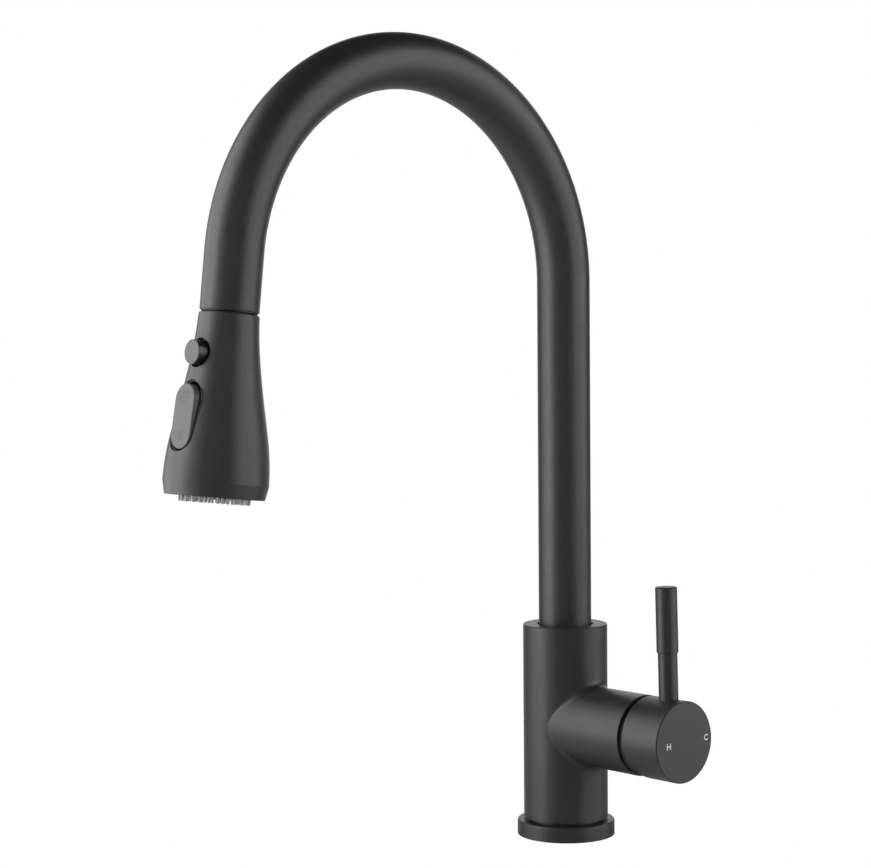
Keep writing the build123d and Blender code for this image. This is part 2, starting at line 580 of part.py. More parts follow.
arm_tip = ARM_PLANE.origin - seam
SPOOL_MID = arm_tip.dot(outlet)
SPOOL_R = 6.2
with BuildPart() as diverter_spool:
    revolve(section(HEAD_SECTION, [(2.4, 45), (SPOOL_R, 45), (SPOOL_R, 46.2), (5.2, 46.2), (5.2, 47.8),
                                   (SPOOL_R, 47.8),
                                   (SPOOL_R, SPOOL_MID - 1.65), (3.5, SPOOL_MID - 1.65),
                                   (3.5, SPOOL_MID + 1.65),
                                   (SPOOL_R, SPOOL_MID + 1.65), (SPOOL_R, 55), (5.2, 55), (5.2, 56.6),
                                   (SPOOL_R, 56.6), (SPOOL_R, 58), (2.4, 58)]), axis=HEAD_AXIS)
diverter_spool.part.label = "diverter_spool"
export_step(diverter_spool.part, "parts/diverter_spool.step")

with BuildPart() as diverter_seals:
    for low in (46.3, 55.1):
        revolve(section(HEAD_SECTION, [(5.25, low + 0.3), (5.5, low), (6.2, low), (6.42, low + 0.3),
                                       (6.42, low + 1.1),
                                       (6.2, low + 1.4), (5.5, low + 1.4), (5.25, low + 1.1)]),
                axis=HEAD_AXIS)
diverter_seals.part.label = "diverter_seals"
export_step(diverter_seals.part, "parts/diverter_seals.step")

# ---------------------------------------------------------------- spray face
PLATE_R = 21.2
PLATE_TOP = 69.4
PLATE_FACE = 85.2
PLATE_BACK = 83.0
AERATOR_R = 8.1
MAT_TIP = 88.9
nozzle_rings = [(10.9, 12), (13.6, 18), (16.2, 24)]
with BuildPart() as nozzle_plate:
    revolve(section(HEAD_SECTION, [(CORE_FLANGE_R + 0.1, PLATE_TOP), (PLATE_R, PLATE_TOP),
                                   (PLATE_R, PLATE_FACE),
                                   (AERATOR_R + 0.1, PLATE_FACE), (AERATOR_R + 0.1, PLATE_BACK),
                                   (CORE_FLANGE_R + 0.1, PLATE_BACK)]), axis=HEAD_AXIS)
    with BuildSketch(HEAD.offset(PLATE_BACK - 1)):
        for radius, count in nozzle_rings:
            with PolarLocations(radius, count):
                Circle(0.95)
    extrude(amount=4, mode=Mode.SUBTRACT)
nozzle_plate.part.label = "nozzle_plate"
export_step(nozzle_plate.part, "parts/nozzle_plate.step")

with BuildPart() as nozzle_mat:
    revolve(ring(HEAD_SECTION, 9.5, CORE_FLANGE_R - 0.1, PLATE_BACK - 2, PLATE_BACK), axis=HEAD_AXIS)
    with BuildSketch(HEAD.offset(PLATE_BACK - 1)):
        for radius, count in nozzle_rings:
            with PolarLocations(radius, count):
                Circle(0.9)
    extrude(amount=MAT_TIP - PLATE_BACK + 1, taper=3)
nozzle_mat.part.label = "nozzle_mat"
export_step(nozzle_mat.part, "parts/nozzle_mat.step")

with BuildPart() as aerator:
    revolve(section(HEAD_SECTION, [(6.9, 74), (AERATOR_R, 74), (AERATOR_R, 86.6), (7.4, 87.2), (6.9, 87.2),
                                   (6.9, 86.2), (0, 86.2), (0, 84.6), (6.9, 84.6)]), axis=HEAD_AXIS)
    with BuildSketch(HEAD.offset(84)):
        with HexLocations(1.1, 6, 5):
            Circle(0.7)
    extrude(amount=3, mode=Mode.SUBTRACT)
aerator.part.label = "aerator"
export_step(aerator.part, "parts/aerator.step")

# ---------------------------------------------------------------- valve cartridge
supply_holes = [(-SUPPLY_XY, SUPPLY_Z - VALVE_Z), (SUPPLY_XY, SUPPLY_Z - VALVE_Z), (0, MIXED_Z - VALVE_Z)]
HOLE_R = 2.8
DISC_FACE = 28.0
with BuildPart() as cartridge_base:
    with BuildSketch(valve_plane(SEAT_X)):
        Circle(17.4)
    extrude(amount=4)
    with BuildSketch(valve_plane(SEAT_X)):
        with Locations(*supply_holes):
            Circle(HOLE_R)
    extrude(amount=4, mode=Mode.SUBTRACT)
    with BuildSketch(valve_plane(SEAT_X)):
        with Locations(*supply_holes):
            Circle(4.5)
    extrude(amount=1.2, mode=Mode.SUBTRACT)
cartridge_base.part.label = "cartridge_base"
export_step(cartridge_base.part, "parts/cartridge_base.step")

with BuildPart() as cartridge_seals:
    with BuildSketch(valve_plane(SEAT_X)):
        with Locations(*supply_holes):
            Circle(4.45)
            Circle(3.1, mode=Mode.SUBTRACT)
    extrude(amount=1.2)
cartridge_seals.part.label = "cartridge_seals"
export_step(cartridge_seals.part, "parts/cartridge_seals.step")

with BuildPart() as fixed_disc:
    with BuildSketch(valve_plane(24)):
        Circle(13.9)
        with Locations(*supply_holes):
            Circle(HOLE_R, mode=Mode.SUBTRACT)
    extrude(amount=DISC_FACE - 24)
fixed_disc.part.label = "fixed_disc"
export_step(fixed_disc.part, "parts/fixed_disc.step")

HOUSING_BORE_R = 14.0
STEM_HOLE_R = 9.5
with BuildPart() as cartridge_housing:
    revolve(section(VALVE_SECTION, [(HOUSING_BORE_R, 24), (17.45, 24), (17.45, 44), (15, 44), (15, 51),
                                    (STEM_HOLE_R, 51), (STEM_HOLE_R, 44), (HOUSING_BORE_R, 44)]),
            axis=VALVE_AXIS)
cartridge_housing.part.label = "cartridge_housing"
export_step(cartridge_housing.part, "parts/cartridge_housing.step")

with BuildPart() as cartridge_nut:
    revolve(ring(VALVE_SECTION, 15.1, 17.55, 44, 52), axis=VALVE_AXIS)
    with BuildSketch(valve_plane(49)):
        with PolarLocations(16.3, 4):
            Rectangle(6, 3)
    extrude(amount=4, mode=Mode.SUBTRACT)
cartridge_nut.part.label = "cartridge_nut"
export_step(cartridge_nut.part, "parts/cartridge_nut.step")

DISC_R = 11.4
SOCKET_R = 3.35
with BuildPart() as moving_disc:
    with BuildSketch(valve_plane(DISC_FACE + 0.05)):
        with Locations((0, -DISC_SHIFT)):
            Circle(DISC_R)
    extrude(amount=3.95)
    with BuildSketch(valve_plane(DISC_FACE + 0.05)):
        with Locations((0, -DISC_SHIFT + 3)):
            SlotOverall(15, 8)
    extrude(amount=2, mode=Mode.SUBTRACT)
moving_disc.part.label = "moving_disc"
export_step(moving_disc.part, "parts/moving_disc.step")

with BuildPart() as disc_carrier:
    with BuildSketch(valve_plane(DISC_FACE + 4)):
        with Locations((0, -DISC_SHIFT)):
            Circle(DISC_R)
    extrude(amount=5.2)
    with BuildSketch(valve_plane(DISC_FACE + 4.6)):
        Circle(SOCKET_R)
    extrude(amount=6, mode=Mode.SUBTRACT)
disc_carrier.part.label = "disc_carrier"
export_step(disc_carrier.part, "parts/disc_carrier.step")

PIN_LENGTH = 17.0
STEM_PIN_R = 1.2
with BuildPart() as cartridge_rotor:
    revolve(section(VALVE_SECTION, [(0, 37.5), (13.85, 37.5), (13.85, 43.7), (STEM_HOLE_R - 0.08, 43.7),
                                    (STEM_HOLE_R - 0.08, 54.5), (0, 54.5)]), axis=VALVE_AXIS)
    with BuildSketch(valve_plane(37)):
        with Locations((0, 1.6)):
            Rectangle(7.4, 14)
    extrude(amount=20, mode=Mode.SUBTRACT)
    with BuildSketch(Plane(origin=pivot + Vector(0, -PIN_LENGTH / 2, 0), z_dir=(0, 1, 0))):
        Circle(STEM_PIN_R)
    extrude(amount=PIN_LENGTH, mode=Mode.SUBTRACT)
cartridge_rotor.part.label = "cartridge_rotor"
export_step(cartridge_rotor.part, "parts/cartridge_rotor.step")

with BuildPart() as stem_pin:
    with BuildSketch(Plane(origin=pivot + Vector(0, -PIN_LENGTH / 2, 0), z_dir=(0, 1, 0))):
        Circle(STEM_PIN_R)
    extrude(amount=PIN_LENGTH)
stem_pin.part.label = "stem_pin"
export_step(stem_pin.part, "parts/stem_pin.step")

BALL_X = 36.0
STEM_SQUARE = 8.0
SQUARE_START = 57.0         # clear of the rotor when the lever is fully open
STEM_END = 79.8
with BuildPart() as cartridge_stem:
    with Locations((BALL_X, 0, VALVE_Z)):
        Sphere(3.0)
    with BuildSketch(valve_plane(BALL_X)):
        Circle(2.4)
    extrude(amount=STEM_END - BALL_X)
    with BuildSketch(valve_plane(44)):
        Circle(3.3)
    extrude(amount=STEM_END - 44)
    with BuildSketch(valve_plane(SQUARE_START)):
        Rectangle(STEM_SQUARE, STEM_SQUARE)
    extrude(amount=STEM_END - SQUARE_START)
    with BuildSketch(Plane(origin=pivot + Vector(0, -5, 0), z_dir=(0, 1, 0))):
        Circle(STEM_PIN_R + 0.06)
    extrude(amount=10, mode=Mode.SUBTRACT)
cartridge_stem.part.label = "cartridge_stem"
export_step(cartridge_stem.part, "parts/cartridge_stem.step")

# ---------------------------------------------------------------- bonnet
DOME_TOP = 65.5
DOME_WALL = 1.9
with BuildPart() as bonnet:
    with BuildSketch(VALVE_SECTION):
        with BuildLine():
            low, mid, high = [(pivot_radius(DOME_R, x), x) for x in (BRANCH_END, 62, DOME_TOP)]
            outer = ThreePointArc(low, mid, high)
            low, mid, high = [(pivot_radius(DOME_R - DOME_WALL, x), x) for x in (BRANCH_END, 62, DOME_TOP)]
            inner = ThreePointArc(high, mid, low)
            Line(outer @ 1, inner @ 0)
            Line(inner @ 1, outer @ 0)
        make_face()
    revolve(axis=VALVE_AXIS)
    revolve(ring(VALVE_SECTION, 15.6, 17.5, 52.2, BRANCH_END + 1.2), axis=VALVE_AXIS)
bonnet.part.label = "bonnet"
export_step(bonnet.part, "parts/bonnet.step")

# ---------------------------------------------------------------- handle
RELIEF_DROP = 3.0           # the relief starts this far below the valve axis
RELIEF_DEPTH = 6.0          # and has cut this much off the hub at its lowest edge
SCREW_X = 76.0
HUB_SCREW_R = 2.5
MARK_DEPTH = 0.3
MARK_H = 3.3
MARK_STROKE = 0.6
HOT_AT = (-11.6, -0.7)
COLD_AT = (16.7, 0.7)


def mark_h():
    """A plain capital H as a sketch about its own centre."""
    with BuildSketch() as letter:
        with Locations((-MARK_H * 0.36, 0), (MARK_H * 0.36, 0)):
            Rectangle(MARK_STROKE, MARK_H)
        Rectangle(MARK_H * 0.72, MARK_STROKE)
    return letter.sketch


def mark_c():
    """A plain capital C as a sketch about its own centre."""
    with BuildSketch() as letter:
        Circle(MARK_H / 2)
        Circle(MARK_H / 2 - MARK_STROKE, mode=Mode.SUBTRACT)
        with Locations((MARK_H / 2, 0)):
            Rectangle(MARK_H * 0.9, MARK_H * 0.42, mode=Mode.SUBTRACT)
    return letter.sketch


def on_disc(letter, place):
    """A mark moved to its place on the hub's disc, at the floor of its recess."""
    return valve_plane(HUB_END - MARK_DEPTH).location * Pos(*place) * letter


with BuildPart() as handle_hub:
    with BuildSketch(VALVE_SECTION):
        with BuildLine():
            rim, mid = [(pivot_radius(HUB_CAVITY_R, x), x) for x in (HUB_START, 66)]
            cavity = ThreePointArc(rim, mid, (0, PIVOT_X + HUB_CAVITY_R))
            Polyline(cavity @ 1, (0, HUB_END), (HUB_R - 0.5, HUB_END), (HUB_R, HUB_END - 0.5),
                     (HUB_R, HUB_START + 0.25), (HUB_R - 0.25, HUB_START), cavity @ 0)
        make_face()
    revolve(axis=VALVE_AXIS)
    with BuildSketch(Plane.XZ.offset(-HUB_R - 1)):
        with BuildLine():
            Polyline((HUB_START - 1, VALVE_Z - RELIEF_DROP), (HUB_START, VALVE_Z - RELIEF_DROP),
                     (HUB_START + RELIEF_DEPTH, VALVE_Z - HUB_R),
                     (HUB_START + RELIEF_DEPTH, VALVE_Z - HUB_R - 2),
                     (HUB_START - 1, VALVE_Z - HUB_R - 2), close=True)
        make_face()
    extrude(amount=2 * HUB_R + 2, mode=Mode.SUBTRACT)
    with BuildSketch(valve_plane(68)):
        Rectangle(STEM_SQUARE + 0.1, STEM_SQUARE + 0.1)
    extrude(amount=STEM_END + 0.2 - 68, mode=Mode.SUBTRACT)
    with BuildSketch(LEVER.offset(-8)):
        Circle(ROD_R + 0.02)
    extrude(amount=20, mode=Mode.SUBTRACT)
    with BuildSketch(Plane.XY.offset(VALVE_Z - HUB_R - 1)):
        with Locations((SCREW_X, 0)):
            Circle(HUB_SCREW_R)
    extrude(amount=HUB_R, mode=Mode.SUBTRACT)
    extrude(on_disc(mark_h(), HOT_AT), amount=1, mode=Mode.SUBTRACT)
    extrude(on_disc(mark_c(), COLD_AT), amount=1, mode=Mode.SUBTRACT)
handle_hub.part.label = "handle_hub"
export_step(handle_hub.part, "parts/handle_hub.step")

with BuildPart() as hot_mark:
    extrude(on_disc(mark_h(), HOT_AT), amount=MARK_DEPTH)
hot_mark.part.label = "hot_mark"
export_step(hot_mark.part, "parts/hot_mark.step")

with BuildPart() as cold_mark:
    extrude(on_disc(mark_c(), COLD_AT), amount=MARK_DEPTH)
cold_mark.part.label = "cold_mark"
export_step(cold_mark.part, "parts/cold_mark.step")

GRUB_TOP = VALVE_Z - STEM_SQUARE / 2 - 0.05
with BuildPart() as handle_screw:
    with BuildSketch(Plane.XY.offset(GRUB_TOP - 9)):
        with Locations((SCREW_X, 0)):
            Circle(HUB_SCREW_R - 0.05)
    extrude(amount=9)
    with BuildSketch(Plane.XY.offset(GRUB_TOP - 9)):
        with Locations((SCREW_X, 0)):
            RegularPolygon(radius=1.4, side_count=6)
    extrude(amount=3, mode=Mode.SUBTRACT)
handle_screw.part.label = "handle_screw"
export_step(handle_screw.part, "parts/handle_screw.step")

PLUG_BOTTOM = VALVE_Z - HUB_R + 0.3
with BuildPart() as screw_plug:
    with BuildSketch(Plane.XY.offset(PLUG_BOTTOM)):
        with Locations((SCREW_X, 0)):
            Circle(HUB_SCREW_R - 0.05)
    extrude(amount=2.5)
screw_plug.part.label = "screw_plug"
export_step(screw_plug.part, "parts/screw_plug.step")

SPIGOT_R = 3.4
SPIGOT_END = 55.0
with BuildPart() as lever_rod:
    revolve(section(LEVER_SECTION, [(0, -7.5), (ROD_R, -7.5), (ROD_R, GRIP_START), (SPIGOT_R, GRIP_START),
                                    (SPIGOT_R, SPIGOT_END), (0, SPIGOT_END)]), axis=LEVER_AXIS)
lever_rod.part.label = "lever_rod"
export_step(lever_rod.part, "parts/lever_rod.step")

with BuildPart() as lever_grip:
    revolve(section(LEVER_SECTION, [(SPIGOT_R + 0.05, GRIP_START), (GRIP_R - 0.3, GRIP_START),
                                    (GRIP_R, GRIP_START + 0.3), (GRIP_R, GRIP_END - 0.5),
                                    (GRIP_R - 0.5, GRIP_END), (0, GRIP_END), (0, SPIGOT_END + 0.3),
                                    (SPIGOT_R + 0.05, SPIGOT_END + 0.3)]), axis=LEVER_AXIS)
lever_grip.part.label = "lever_grip"
export_step(lever_grip.part, "parts/lever_grip.step")

hose_length = HOSE_START_Z * -1 + ARC_START_Z + ARC_R * turn + NECK_LENGTH + HOSE_END_S
hose_section = (HOSE_R ** 2 - HOSE_BORE_R ** 2) * pi
print("seam", tuple(round(v, 3) for v in seam), "outlet", tuple(round(v, 5) for v in outlet))
print("rocker pin", tuple(round(v, 3) for v in rocker_pin_point), "spool middle", round(SPOOL_MID, 2))
print("hose length", round(hose_length, 1), "volume ratio",
      round(spray_hose.part.volume / hose_section / hose_length, 4))
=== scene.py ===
# %% [markdown]
# # A satin black pull-down kitchen faucet
#
# The faucet is a turned body on a deck, a bent spout tube, a spray head that pulls down on a braided
# hose, and a lever on a side branch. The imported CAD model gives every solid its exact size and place.
# This file gives those solids their finishes, and swaps a few of them for finer pieces: the bent tube,
# the soft nozzles, the honeycomb outlet, the braided hose, two springs and the pause button. It adds
# the small marks on the rocker.
#
# Loading the frame comes first, because every later size is worked out from it.

import json
import math

import bmesh
import bpy
import numpy as np
from mathutils import Matrix, Vector


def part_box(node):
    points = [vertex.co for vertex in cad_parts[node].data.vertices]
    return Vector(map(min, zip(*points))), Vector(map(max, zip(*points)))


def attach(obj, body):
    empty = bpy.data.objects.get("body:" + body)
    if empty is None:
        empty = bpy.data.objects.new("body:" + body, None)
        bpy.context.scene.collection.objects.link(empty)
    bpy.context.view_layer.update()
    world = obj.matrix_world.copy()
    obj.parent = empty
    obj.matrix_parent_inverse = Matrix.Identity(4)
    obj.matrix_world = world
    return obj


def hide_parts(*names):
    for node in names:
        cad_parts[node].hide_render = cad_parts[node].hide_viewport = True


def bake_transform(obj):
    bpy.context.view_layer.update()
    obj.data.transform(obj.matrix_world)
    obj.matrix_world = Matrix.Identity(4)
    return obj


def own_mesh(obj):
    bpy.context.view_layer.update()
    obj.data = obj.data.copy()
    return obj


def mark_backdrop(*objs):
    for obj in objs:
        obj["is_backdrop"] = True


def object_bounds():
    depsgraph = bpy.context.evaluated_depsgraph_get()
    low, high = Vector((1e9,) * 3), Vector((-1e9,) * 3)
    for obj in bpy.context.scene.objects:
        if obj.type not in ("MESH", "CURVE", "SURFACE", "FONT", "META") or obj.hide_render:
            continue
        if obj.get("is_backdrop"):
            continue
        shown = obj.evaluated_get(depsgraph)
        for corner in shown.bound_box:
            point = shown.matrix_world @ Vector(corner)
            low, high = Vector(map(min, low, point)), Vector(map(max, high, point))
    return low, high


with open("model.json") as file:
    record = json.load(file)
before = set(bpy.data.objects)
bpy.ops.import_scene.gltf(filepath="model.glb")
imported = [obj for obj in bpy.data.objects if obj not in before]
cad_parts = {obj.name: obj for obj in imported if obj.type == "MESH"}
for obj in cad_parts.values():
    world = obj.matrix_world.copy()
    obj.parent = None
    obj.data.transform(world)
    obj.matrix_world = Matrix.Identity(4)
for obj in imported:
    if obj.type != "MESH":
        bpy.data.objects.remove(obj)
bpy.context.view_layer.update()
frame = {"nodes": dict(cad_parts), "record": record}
nodes = frame["nodes"]
slot_of = {part["node"]: part["material_slot"] for part in frame["record"]["subparts"]}
joint_of = {joint["name"]: joint for joint in frame["record"]["behaviour"]["joints"]}

# %% [markdown]
# The spout's centre line is a straight column, one arc and a short straight neck. A distance along it
# is all that a ring of the tube or a turn of the hose needs to know, so one function turns a distance
# into a point and a direction. The spray head hangs off the end of the same line.

# %% The spout's centre line and the spray head's frame
MM = 0.001
ARC_R = 108.5 * MM
ARC_START = 295.2 * MM
ARC_TURN = math.radians(173.46)
NECK = 28.4 * MM
ACROSS = Vector((1, 0, 0))


def route(distance):
    """The point and the direction at a distance along the spout's centre line, from the deck up."""
    turn = min(max((distance - ARC_START) / ARC_R, 0), ARC_TURN)
    along = Vector((0, -math.sin(turn), math.cos(turn)))
    if distance < ARC_START:
        return Vector((0, 0, distance)), along
    bend = Vector((0, -ARC_R * (1 - math.cos(turn)), ARC_START + ARC_R * math.sin(turn)))
    return bend + along * max(0, distance - ARC_START - ARC_R * turn), along


SEAM_AT = ARC_START + ARC_R * ARC_TURN + NECK
SEAM, OUTLET = route(SEAM_AT)
FRONT = OUTLET.cross(ACROSS)
HEAD = Matrix((ACROSS, FRONT, OUTLET)).transposed().to_4x4()
HEAD.translation = SEAM


def in_head(front, down):
    """A point of the spray head: how far in front of its axis, and how far down from the seam."""
    return SEAM + FRONT * front + OUTLET * down


print("seam at", [round(v, 4) for v in SEAM], "outlet", [round(v, 4) for v in OUTLET])

# %% [markdown]
# Turned and bent pieces are both stacks of rings. Each point of an outline is a radius and a distance,
# and a small function says where that distance lies: on a straight axis for a turned piece, or on the
# centre line for a bent tube. Real edges are never knife sharp, so the corners of an outline are
# rounded first, and an extra ring on each side of a corner keeps the flats flat under smooth shading.

# %% Rings, corners and solids
TINY = 1e-7


def new_object(name, bm):
    """A mesh object from a bmesh, smooth shaded with its faces turned outwards."""
    bmesh.ops.recalc_face_normals(bm, faces=bm.faces)
    mesh = bpy.data.meshes.new(name)
    bm.to_mesh(mesh)
    bm.free()
    mesh.shade_smooth()
    made = bpy.data.objects.new(name, mesh)
    bpy.context.scene.collection.objects.link(made)
    return made


def soften(outline, radius, steps=4):
    """The closed outline with every corner off the axis rounded, and a ring beside each rounding."""
    soft = []
    for i, (r, d) in enumerate(outline):
        here = Vector((r, d))
        sides = [Vector(outline[i - 1]) - here, Vector(outline[(i + 1) % len(outline)]) - here]
        if r < TINY:
            soft.append((r, d))
            continue
        reach = min(radius, 0.4 * sides[0].length, 0.4 * sides[1].length)
        first, last = [here + side.normalized() * reach for side in sides]
        soft.append(tuple(first + sides[0].normalized() * reach * 0.3))
        for step in range(steps + 1):
            t = step / steps
            soft.append(tuple(first * (1 - t) ** 2 + here * 2 * t * (1 - t) + last * t ** 2))
        soft.append(tuple(last + sides[1].normalized() * reach * 0.3))
    return soft


def spaced(outline, step):
    """The outline with long spans filled in, so that it can follow a bend."""
    filled = []
    for (r0, d0), (r1, d1) in zip(outline, outline[1:] + outline[:1]):
        count = max(1, math.ceil(abs(d1 - d0) / step))
        filled += [(r0 + (r1 - r0) * i / count, d0 + (d1 - d0) * i / count) for i in range(count)]
    return filled


def straight(origin, along):
    """Places rings on a straight axis that starts at origin."""
    side = along.orthogonal().normalized()
    return lambda d: (origin + along * d, side, along.cross(side))


def on_route(distance):
    """Places rings on the spout's centre line."""
    point, along = route(distance)
    return point, ACROSS, along.cross(ACROSS)


def skin(name, outline, place, around=96):
    """A closed solid from rings. An outline point is (radius, distance); radius 0 makes a pole."""
    bm = bmesh.new()
    rings = []
    for radius, distance in outline:
        centre, u, v = place(distance)
        if radius < TINY:
            rings.append([bm.verts.new(centre)])
            continue
        angles = [2 * math.pi * i / around for i in range(around)]
        rings.append([bm.verts.new(centre + (u * math.cos(a) + v * math.sin(a)) * radius)
                      for a in angles])
    for one, two in zip(rings, rings[1:] + rings[:1]):
        if len(one) == len(two) == 1:
            continue
        for i in range(around):
            j = (i + 1) % around
            corners = [one[i % len(one)], one[j % len(one)], two[j % len(two)], two[i % len(two)]]
            bm.faces.new(list(dict.fromkeys(corners)))
    return new_object(name, bm)


def joined(name, pieces):
    """Several mesh objects as one, with their materials kept apart."""
    bm = bmesh.new()
    materials = []
    for piece in pieces:
        shift = len(materials)
        materials += list(piece.data.materials)
        start = len(bm.faces)
        bm.from_mesh(piece.data)
        bm.faces.ensure_lookup_table()
        for face in bm.faces[start:]:
            face.material_index += shift
        bpy.data.objects.remove(piece)
    made = new_object(name, bm)
    for material in materials:
        made.data.materials.append(material)
    return made


print("helpers ready")

# %% [markdown]
# ## Finishes
#
# Three effects return on many materials, so each is a shader node group: the pebbled grain of a
# powder coat or a moulding, the soft patches that hands leave, and fine dust that settles on surfaces
# that look up. A group gives out only masks and heights. The shader itself stays in each material, and
# every value that is the same all over is set on its own socket.

# %% Node groups for grain, handling and dust
def group_of(kind, name, inputs, outputs):
    """An empty node group with named sockets, and its input and output nodes."""
    group = bpy.data.node_groups.new(name, kind)
    for way, sockets in (("INPUT", inputs), ("OUTPUT", outputs)):
        for label, socket_kind, *value in sockets:
            socket = group.interface.new_socket(label, in_out=way, socket_type="NodeSocket" + socket_kind)
            if value:
                socket.default_value = value[0]
    return group, group.nodes.new("NodeGroupInput").outputs, group.nodes.new("NodeGroupOutput").inputs


def add(group, kind, inputs=None, **settings):
    """A node with its settings, and its inputs set to values or joined to other nodes' outputs."""
    node = group.nodes.new(kind)
    for key, value in settings.items():
        setattr(node, key, value)
    for key, value in (inputs or {}).items():
        if isinstance(value, bpy.types.NodeSocket):
            group.links.new(value, node.inputs[key])
        else:
            node.inputs[key].default_value = value
    return node


def math_node(group, operation, one, two):
    """The output of a Math node."""
    return add(group, "ShaderNodeMath", {0: one, 1: two}, operation=operation).outputs[0]


grain, given, out = group_of("ShaderNodeTree", "grain", [("Scale", "Float", 1500.0)],
                             [("Height", "Float"), ("Mottle", "Float")])
here = add(grain, "ShaderNodeTexCoord").outputs["Object"]
pebbles = add(grain, "ShaderNodeTexNoise", {"Vector": here, "Scale": given["Scale"], "Detail": 3.0,
                                            "Roughness": 0.55})
coarse = math_node(grain, "MULTIPLY", given["Scale"], 0.06)
clouds = add(grain, "ShaderNodeTexNoise", {"Vector": here, "Scale": coarse, "Detail": 4.0})
grain.links.new(pebbles.outputs["Fac"], out["Height"])
grain.links.new(clouds.outputs["Fac"], out["Mottle"])

handling, given, out = group_of("ShaderNodeTree", "handling", [("Scale", "Float", 30.0)],
                                [("Mask", "Float")])
here = add(handling, "ShaderNodeTexCoord").outputs["Object"]
patches = add(handling, "ShaderNodeTexNoise", {"Vector": here, "Scale": given["Scale"], "Detail": 5.0,
                                               "Roughness": 0.6, "Distortion": 0.8})
faded = add(handling, "ShaderNodeMapRange", {"Value": patches.outputs["Fac"], "From Min": 0.5,
                                             "From Max": 0.75}, interpolation_type="SMOOTHSTEP")
handling.links.new(faded.outputs["Result"], out["Mask"])

dust, given, out = group_of("ShaderNodeTree", "dust", [("Scale", "Float", 900.0)], [("Mask", "Float")])
here = add(dust, "ShaderNodeTexCoord").outputs["Object"]
cells = add(dust, "ShaderNodeTexVoronoi", {"Vector": here, "Scale": given["Scale"]})
specks = add(dust, "ShaderNodeMapRange", {"Value": cells.outputs["Distance"], "From Min": 0.16,
                                          "From Max": 0.08})
drift = add(dust, "ShaderNodeTexNoise", {"Vector": here, "Scale": 60.0, "Detail": 2.0})
thick = add(dust, "ShaderNodeMapRange", {"Value": drift.outputs["Fac"], "From Min": 0.55,
                                         "From Max": 0.7})
up = add(dust, "ShaderNodeSeparateXYZ", {0: add(dust, "ShaderNodeNewGeometry").outputs["Normal"]})
facing = add(dust, "ShaderNodeMapRange", {"Value": up.outputs["Z"], "From Min": 0.2, "From Max": 0.9})
lying = math_node(dust, "MULTIPLY", specks.outputs["Result"], thick.outputs["Result"])
dust.links.new(math_node(dust, "MULTIPLY", lying, facing.outputs["Result"]), out["Mask"])
print("groups", [g.name for g in bpy.data.node_groups])

# %% [markdown]
# Each finish of the faucet is one call: its colour, how rough it is, how large and how deep its grain
# is, and how much hands and dust show. A powder coat has a soft pebble about a third of a millimetre
# wide; the moulded buttons are finer and a little lighter; rubber is coarse and dull.

# %% Painted and moulded finishes
DUST_COLOUR = (0.32, 0.31, 0.30, 1)


def surface(name, colour, roughness, grain_scale, grain_depth, spread=0.08, polish=0.06, dusty=0.25,
            shade=0.15, **fixed):
    """A painted or moulded finish. fixed holds sockets of the shader that are the same all over."""
    material = bpy.data.materials.new(name)
    material.use_nodes = True
    tree = material.node_tree
    shader = tree.nodes["Principled BSDF"]
    for socket, value in fixed.items():
        shader.inputs[socket.replace("_", " ")].default_value = value
    pebble = add(tree, "ShaderNodeGroup", node_tree=grain)
    pebble.inputs["Scale"].default_value = grain_scale
    hands = add(tree, "ShaderNodeGroup", node_tree=handling)
    settled = add(tree, "ShaderNodeGroup", node_tree=dust)
    darker = [c * (1 - shade) for c in colour]
    lighter = [c * (1 + shade) for c in colour]
    mottled = add(tree, "ShaderNodeMix", {"Factor": pebble.outputs["Mottle"], "A": (*darker, 1),
                                          "B": (*lighter, 1)}, data_type="RGBA")
    lit = math_node(tree, "MULTIPLY", settled.outputs["Mask"], dusty)
    dusted = add(tree, "ShaderNodeMix", {"Factor": lit, "B": DUST_COLOUR}, data_type="RGBA")
    tree.links.new(mottled.outputs["Result"], dusted.inputs["A"])
    tree.links.new(dusted.outputs["Result"], shader.inputs["Base Color"])
    uneven = add(tree, "ShaderNodeMapRange", {"Value": pebble.outputs["Mottle"],
                                              "To Min": roughness - spread, "To Max": roughness + spread})
    polished = math_node(tree, "MULTIPLY", hands.outputs["Mask"], polish)
    rough = math_node(tree, "SUBTRACT", uneven.outputs["Result"], polished)
    tree.links.new(math_node(tree, "ADD", rough, lit), shader.inputs["Roughness"])
    bump = add(tree, "ShaderNodeBump", {"Height": pebble.outputs["Height"], "Distance": grain_depth,
                                        "Strength": 0.6})
    tree.links.new(bump.outputs["Normal"], shader.inputs["Normal"])
    return material


